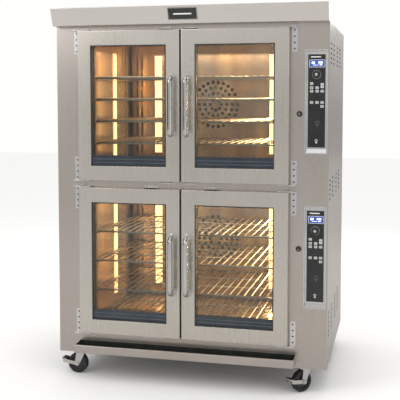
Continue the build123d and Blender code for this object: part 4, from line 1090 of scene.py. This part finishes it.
class OVEN_OT_stage(OvenStep):
    """Floor, camera, studio lights and the light of the oven's own lamps"""

    bl_idname, bl_label = "oven.stage", "Stage"

    def build(self, sizes):
        scene = bpy.context.scene
        scene.view_settings.view_transform = "Standard"
        reach = 14.0
        floor_mesh = bpy.data.meshes.new("floor")
        corners = [(x * reach, y * reach, 0) for x, y in ((-1, -1), (1, -1), (1, 1), (-1, 1))]
        floor_mesh.from_pydata(corners, [], [(0, 1, 2, 3)])
        floor = bpy.data.objects.new("floor", floor_mesh)
        paint = Paint("floor_white", Roughness=0.8)
        mirrored = paint.node("ShaderNodeLightPath", output="Is Glossy Ray")
        paint.set("Base Color", paint.mix(mirrored, (0.97, 0.97, 0.965), (0.58, 0.575, 0.565)))
        floor_mesh.materials.append(paint.material)
        scene.collection.objects.link(floor)

        lens = bpy.data.cameras.new("camera")
        lens.lens, lens.sensor_width, lens.shift_y, lens.clip_end = 75.6, 36.0, -0.12, 60.0
        camera = bpy.data.objects.new("camera", lens)
        camera.location = (0.9364, -4.0593, 1.3177)
        camera.rotation_euler = (math.radians(90 - 3.81), 0, math.radians(13.51))
        scene.collection.objects.link(camera)
        scene.camera = camera

        self.world(scene)
        self.lamp("key", (-2.6, -3.2, 3.0), (0, -0.3, 0.9), (1.8, 2.4), 34)
        self.lamp("fill", (3.4, -2.2, 1.6), (0.3, 0, 0.8), (1.4, 2.4), 16)
        self.lamp("back", (0.6, 3.2, 2.6), (0, 0, 1.0), (2.0, 1.4), 26)
        self.lamp("top", (0, -0.8, 3.8), (0, 0, 0), (2.4, 2.4), 14)
        warm, strip = tuple(scene.oven_colours.lamp), (0.036, 0.5)
        box_low, box_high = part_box("lamp_housings")
        liner_low, liner_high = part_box("chamber_liners")
        for deck in DECKS:
            z = fan_centre(deck)[2] * MM
            self.lamp(f"{deck}_ceiling", (0, 0, z + 0.27), (0, 0, 0), (0.8, 0.4), 5.5, (1.0, 0.8, 0.56))
            for x, watts in ((box_low[0] + 0.022, 5.0), (box_high[0] - 0.022, 3.6)):
                name, place = f"{deck}_oven_{x:.2f}", (x, box_low[1] - 0.004, z)
                self.lamp(name, place, (x, -2, z), strip, watts, warm, x > 0)
            for x, aim, watts in ((liner_low[0] + 0.012, 2, 5.0), (liner_high[0] - 0.012, -2, 3.2)):
                name, place = f"{deck}_wall_{x:.2f}", (x, 0.045, z)
                self.lamp(name, place, (aim, 0.045, z), strip, watts, warm, x > 0)

    def world(self, scene):
        """White all round, but polished metal mirrors a pale room that darkens above the horizon."""
        scene.world = bpy.data.worlds.new("studio")
        scene.world.use_nodes = True
        sky = Nodes(scene.world.node_tree)
        way = sky.node("ShaderNodeTexCoord", output="Generated")
        across, upward = (sky.node("ShaderNodeSeparateXYZ", inputs={0: way}, output=axis) for axis in "XZ")
        height = sky.node("ShaderNodeMapRange", inputs={"Value": upward, "From Min": -1.0})
        stops = ((0.0, 0.45), (0.42, 0.45), (0.49, 0.4), (0.53, 0.68), (0.64, 0.95), (0.86, 0.5))
        room = sky.node("ShaderNodeValToRGB", {"stops": stops}, {0: height})
        aside = sky.node("ShaderNodeMath", {"operation": "ABSOLUTE"}, {0: across})
        flags = sky.node("ShaderNodeMapRange", inputs={
            "Value": aside, "From Min": 0.46, "From Max": 0.8, "To Min": 1.0, "To Max": 0.1})
        mirrored = sky.node("ShaderNodeLightPath", output="Is Glossy Ray")
        strength = sky.node("ShaderNodeMix", {"data_type": "FLOAT"}, {0: mirrored, 2: 1.0, 3: room * flags})
        back = sky.tree.nodes["Background"]
        sky.link(back.inputs["Strength"], strength)
        sky.link(back.inputs["Color"], (1, 0.995, 0.985))

    def lamp(self, name, place, aim, size, watts, colour=(1, 0.985, 0.96), mirrored=True):
        """Rectangular lamp aimed at a point; an unmirrored one lights matt surfaces only."""
        light = bpy.data.lights.new(name, "AREA")
        light.shape, light.size, light.size_y = "RECTANGLE", *size
        light.energy, light.color = watts, colour
        made = bpy.data.objects.new(name, light)
        along, across, down = np.subtract(aim, place) * (1, -1, -1)
        pitch, yaw = math.atan2(math.hypot(along, across), down), math.atan2(along, across)
        made.location = place
        made.rotation_euler = (pitch, 0, yaw + math.pi)
        made.visible_glossy = mirrored
        bpy.context.scene.collection.objects.link(made)


STEPS = (OVEN_OT_finishes, OVEN_OT_doors, OVEN_OT_handles, OVEN_OT_hinges, OVEN_OT_seals, OVEN_OT_canopy,
         OVEN_OT_panels, OVEN_OT_knobs, OVEN_OT_racks, OVEN_OT_trough, OVEN_OT_casters, OVEN_OT_vents,
         OVEN_OT_stage)


class OVEN_PT_steps(bpy.types.Panel):
    """Lists the oven's sizes, colours and steps."""

    bl_idname, bl_label = "OVEN_PT_steps", "Bakery oven"
    bl_space_type, bl_region_type, bl_category = "VIEW_3D", "UI", "Oven"

    def draw(self, context):
        for group in (context.scene.oven_sizes, context.scene.oven_colours):
            for name in group.__annotations__:
                self.layout.prop(group, name)
        for step in STEPS:
            self.layout.operator(step.bl_idname)


CLASSES = (OvenSizes, OvenColours, *STEPS, OVEN_PT_steps)


def register():
    for item in CLASSES:
        bpy.utils.register_class(item)
    bpy.types.Scene.oven_sizes = bpy.props.PointerProperty(type=OvenSizes)
    bpy.types.Scene.oven_colours = bpy.props.PointerProperty(type=OvenColours)


def unregister():
    del bpy.types.Scene.oven_sizes, bpy.types.Scene.oven_colours
    for item in reversed(CLASSES):
        bpy.utils.unregister_class(item)


def main():
    register()
    for step in STEPS:
        group, name = step.bl_idname.split(".")
        if getattr(getattr(bpy.ops, group), name)() != {"FINISHED"}:
            raise RuntimeError(f"{step.bl_label} didn't finish")


if __name__ == "__main__":
    main()
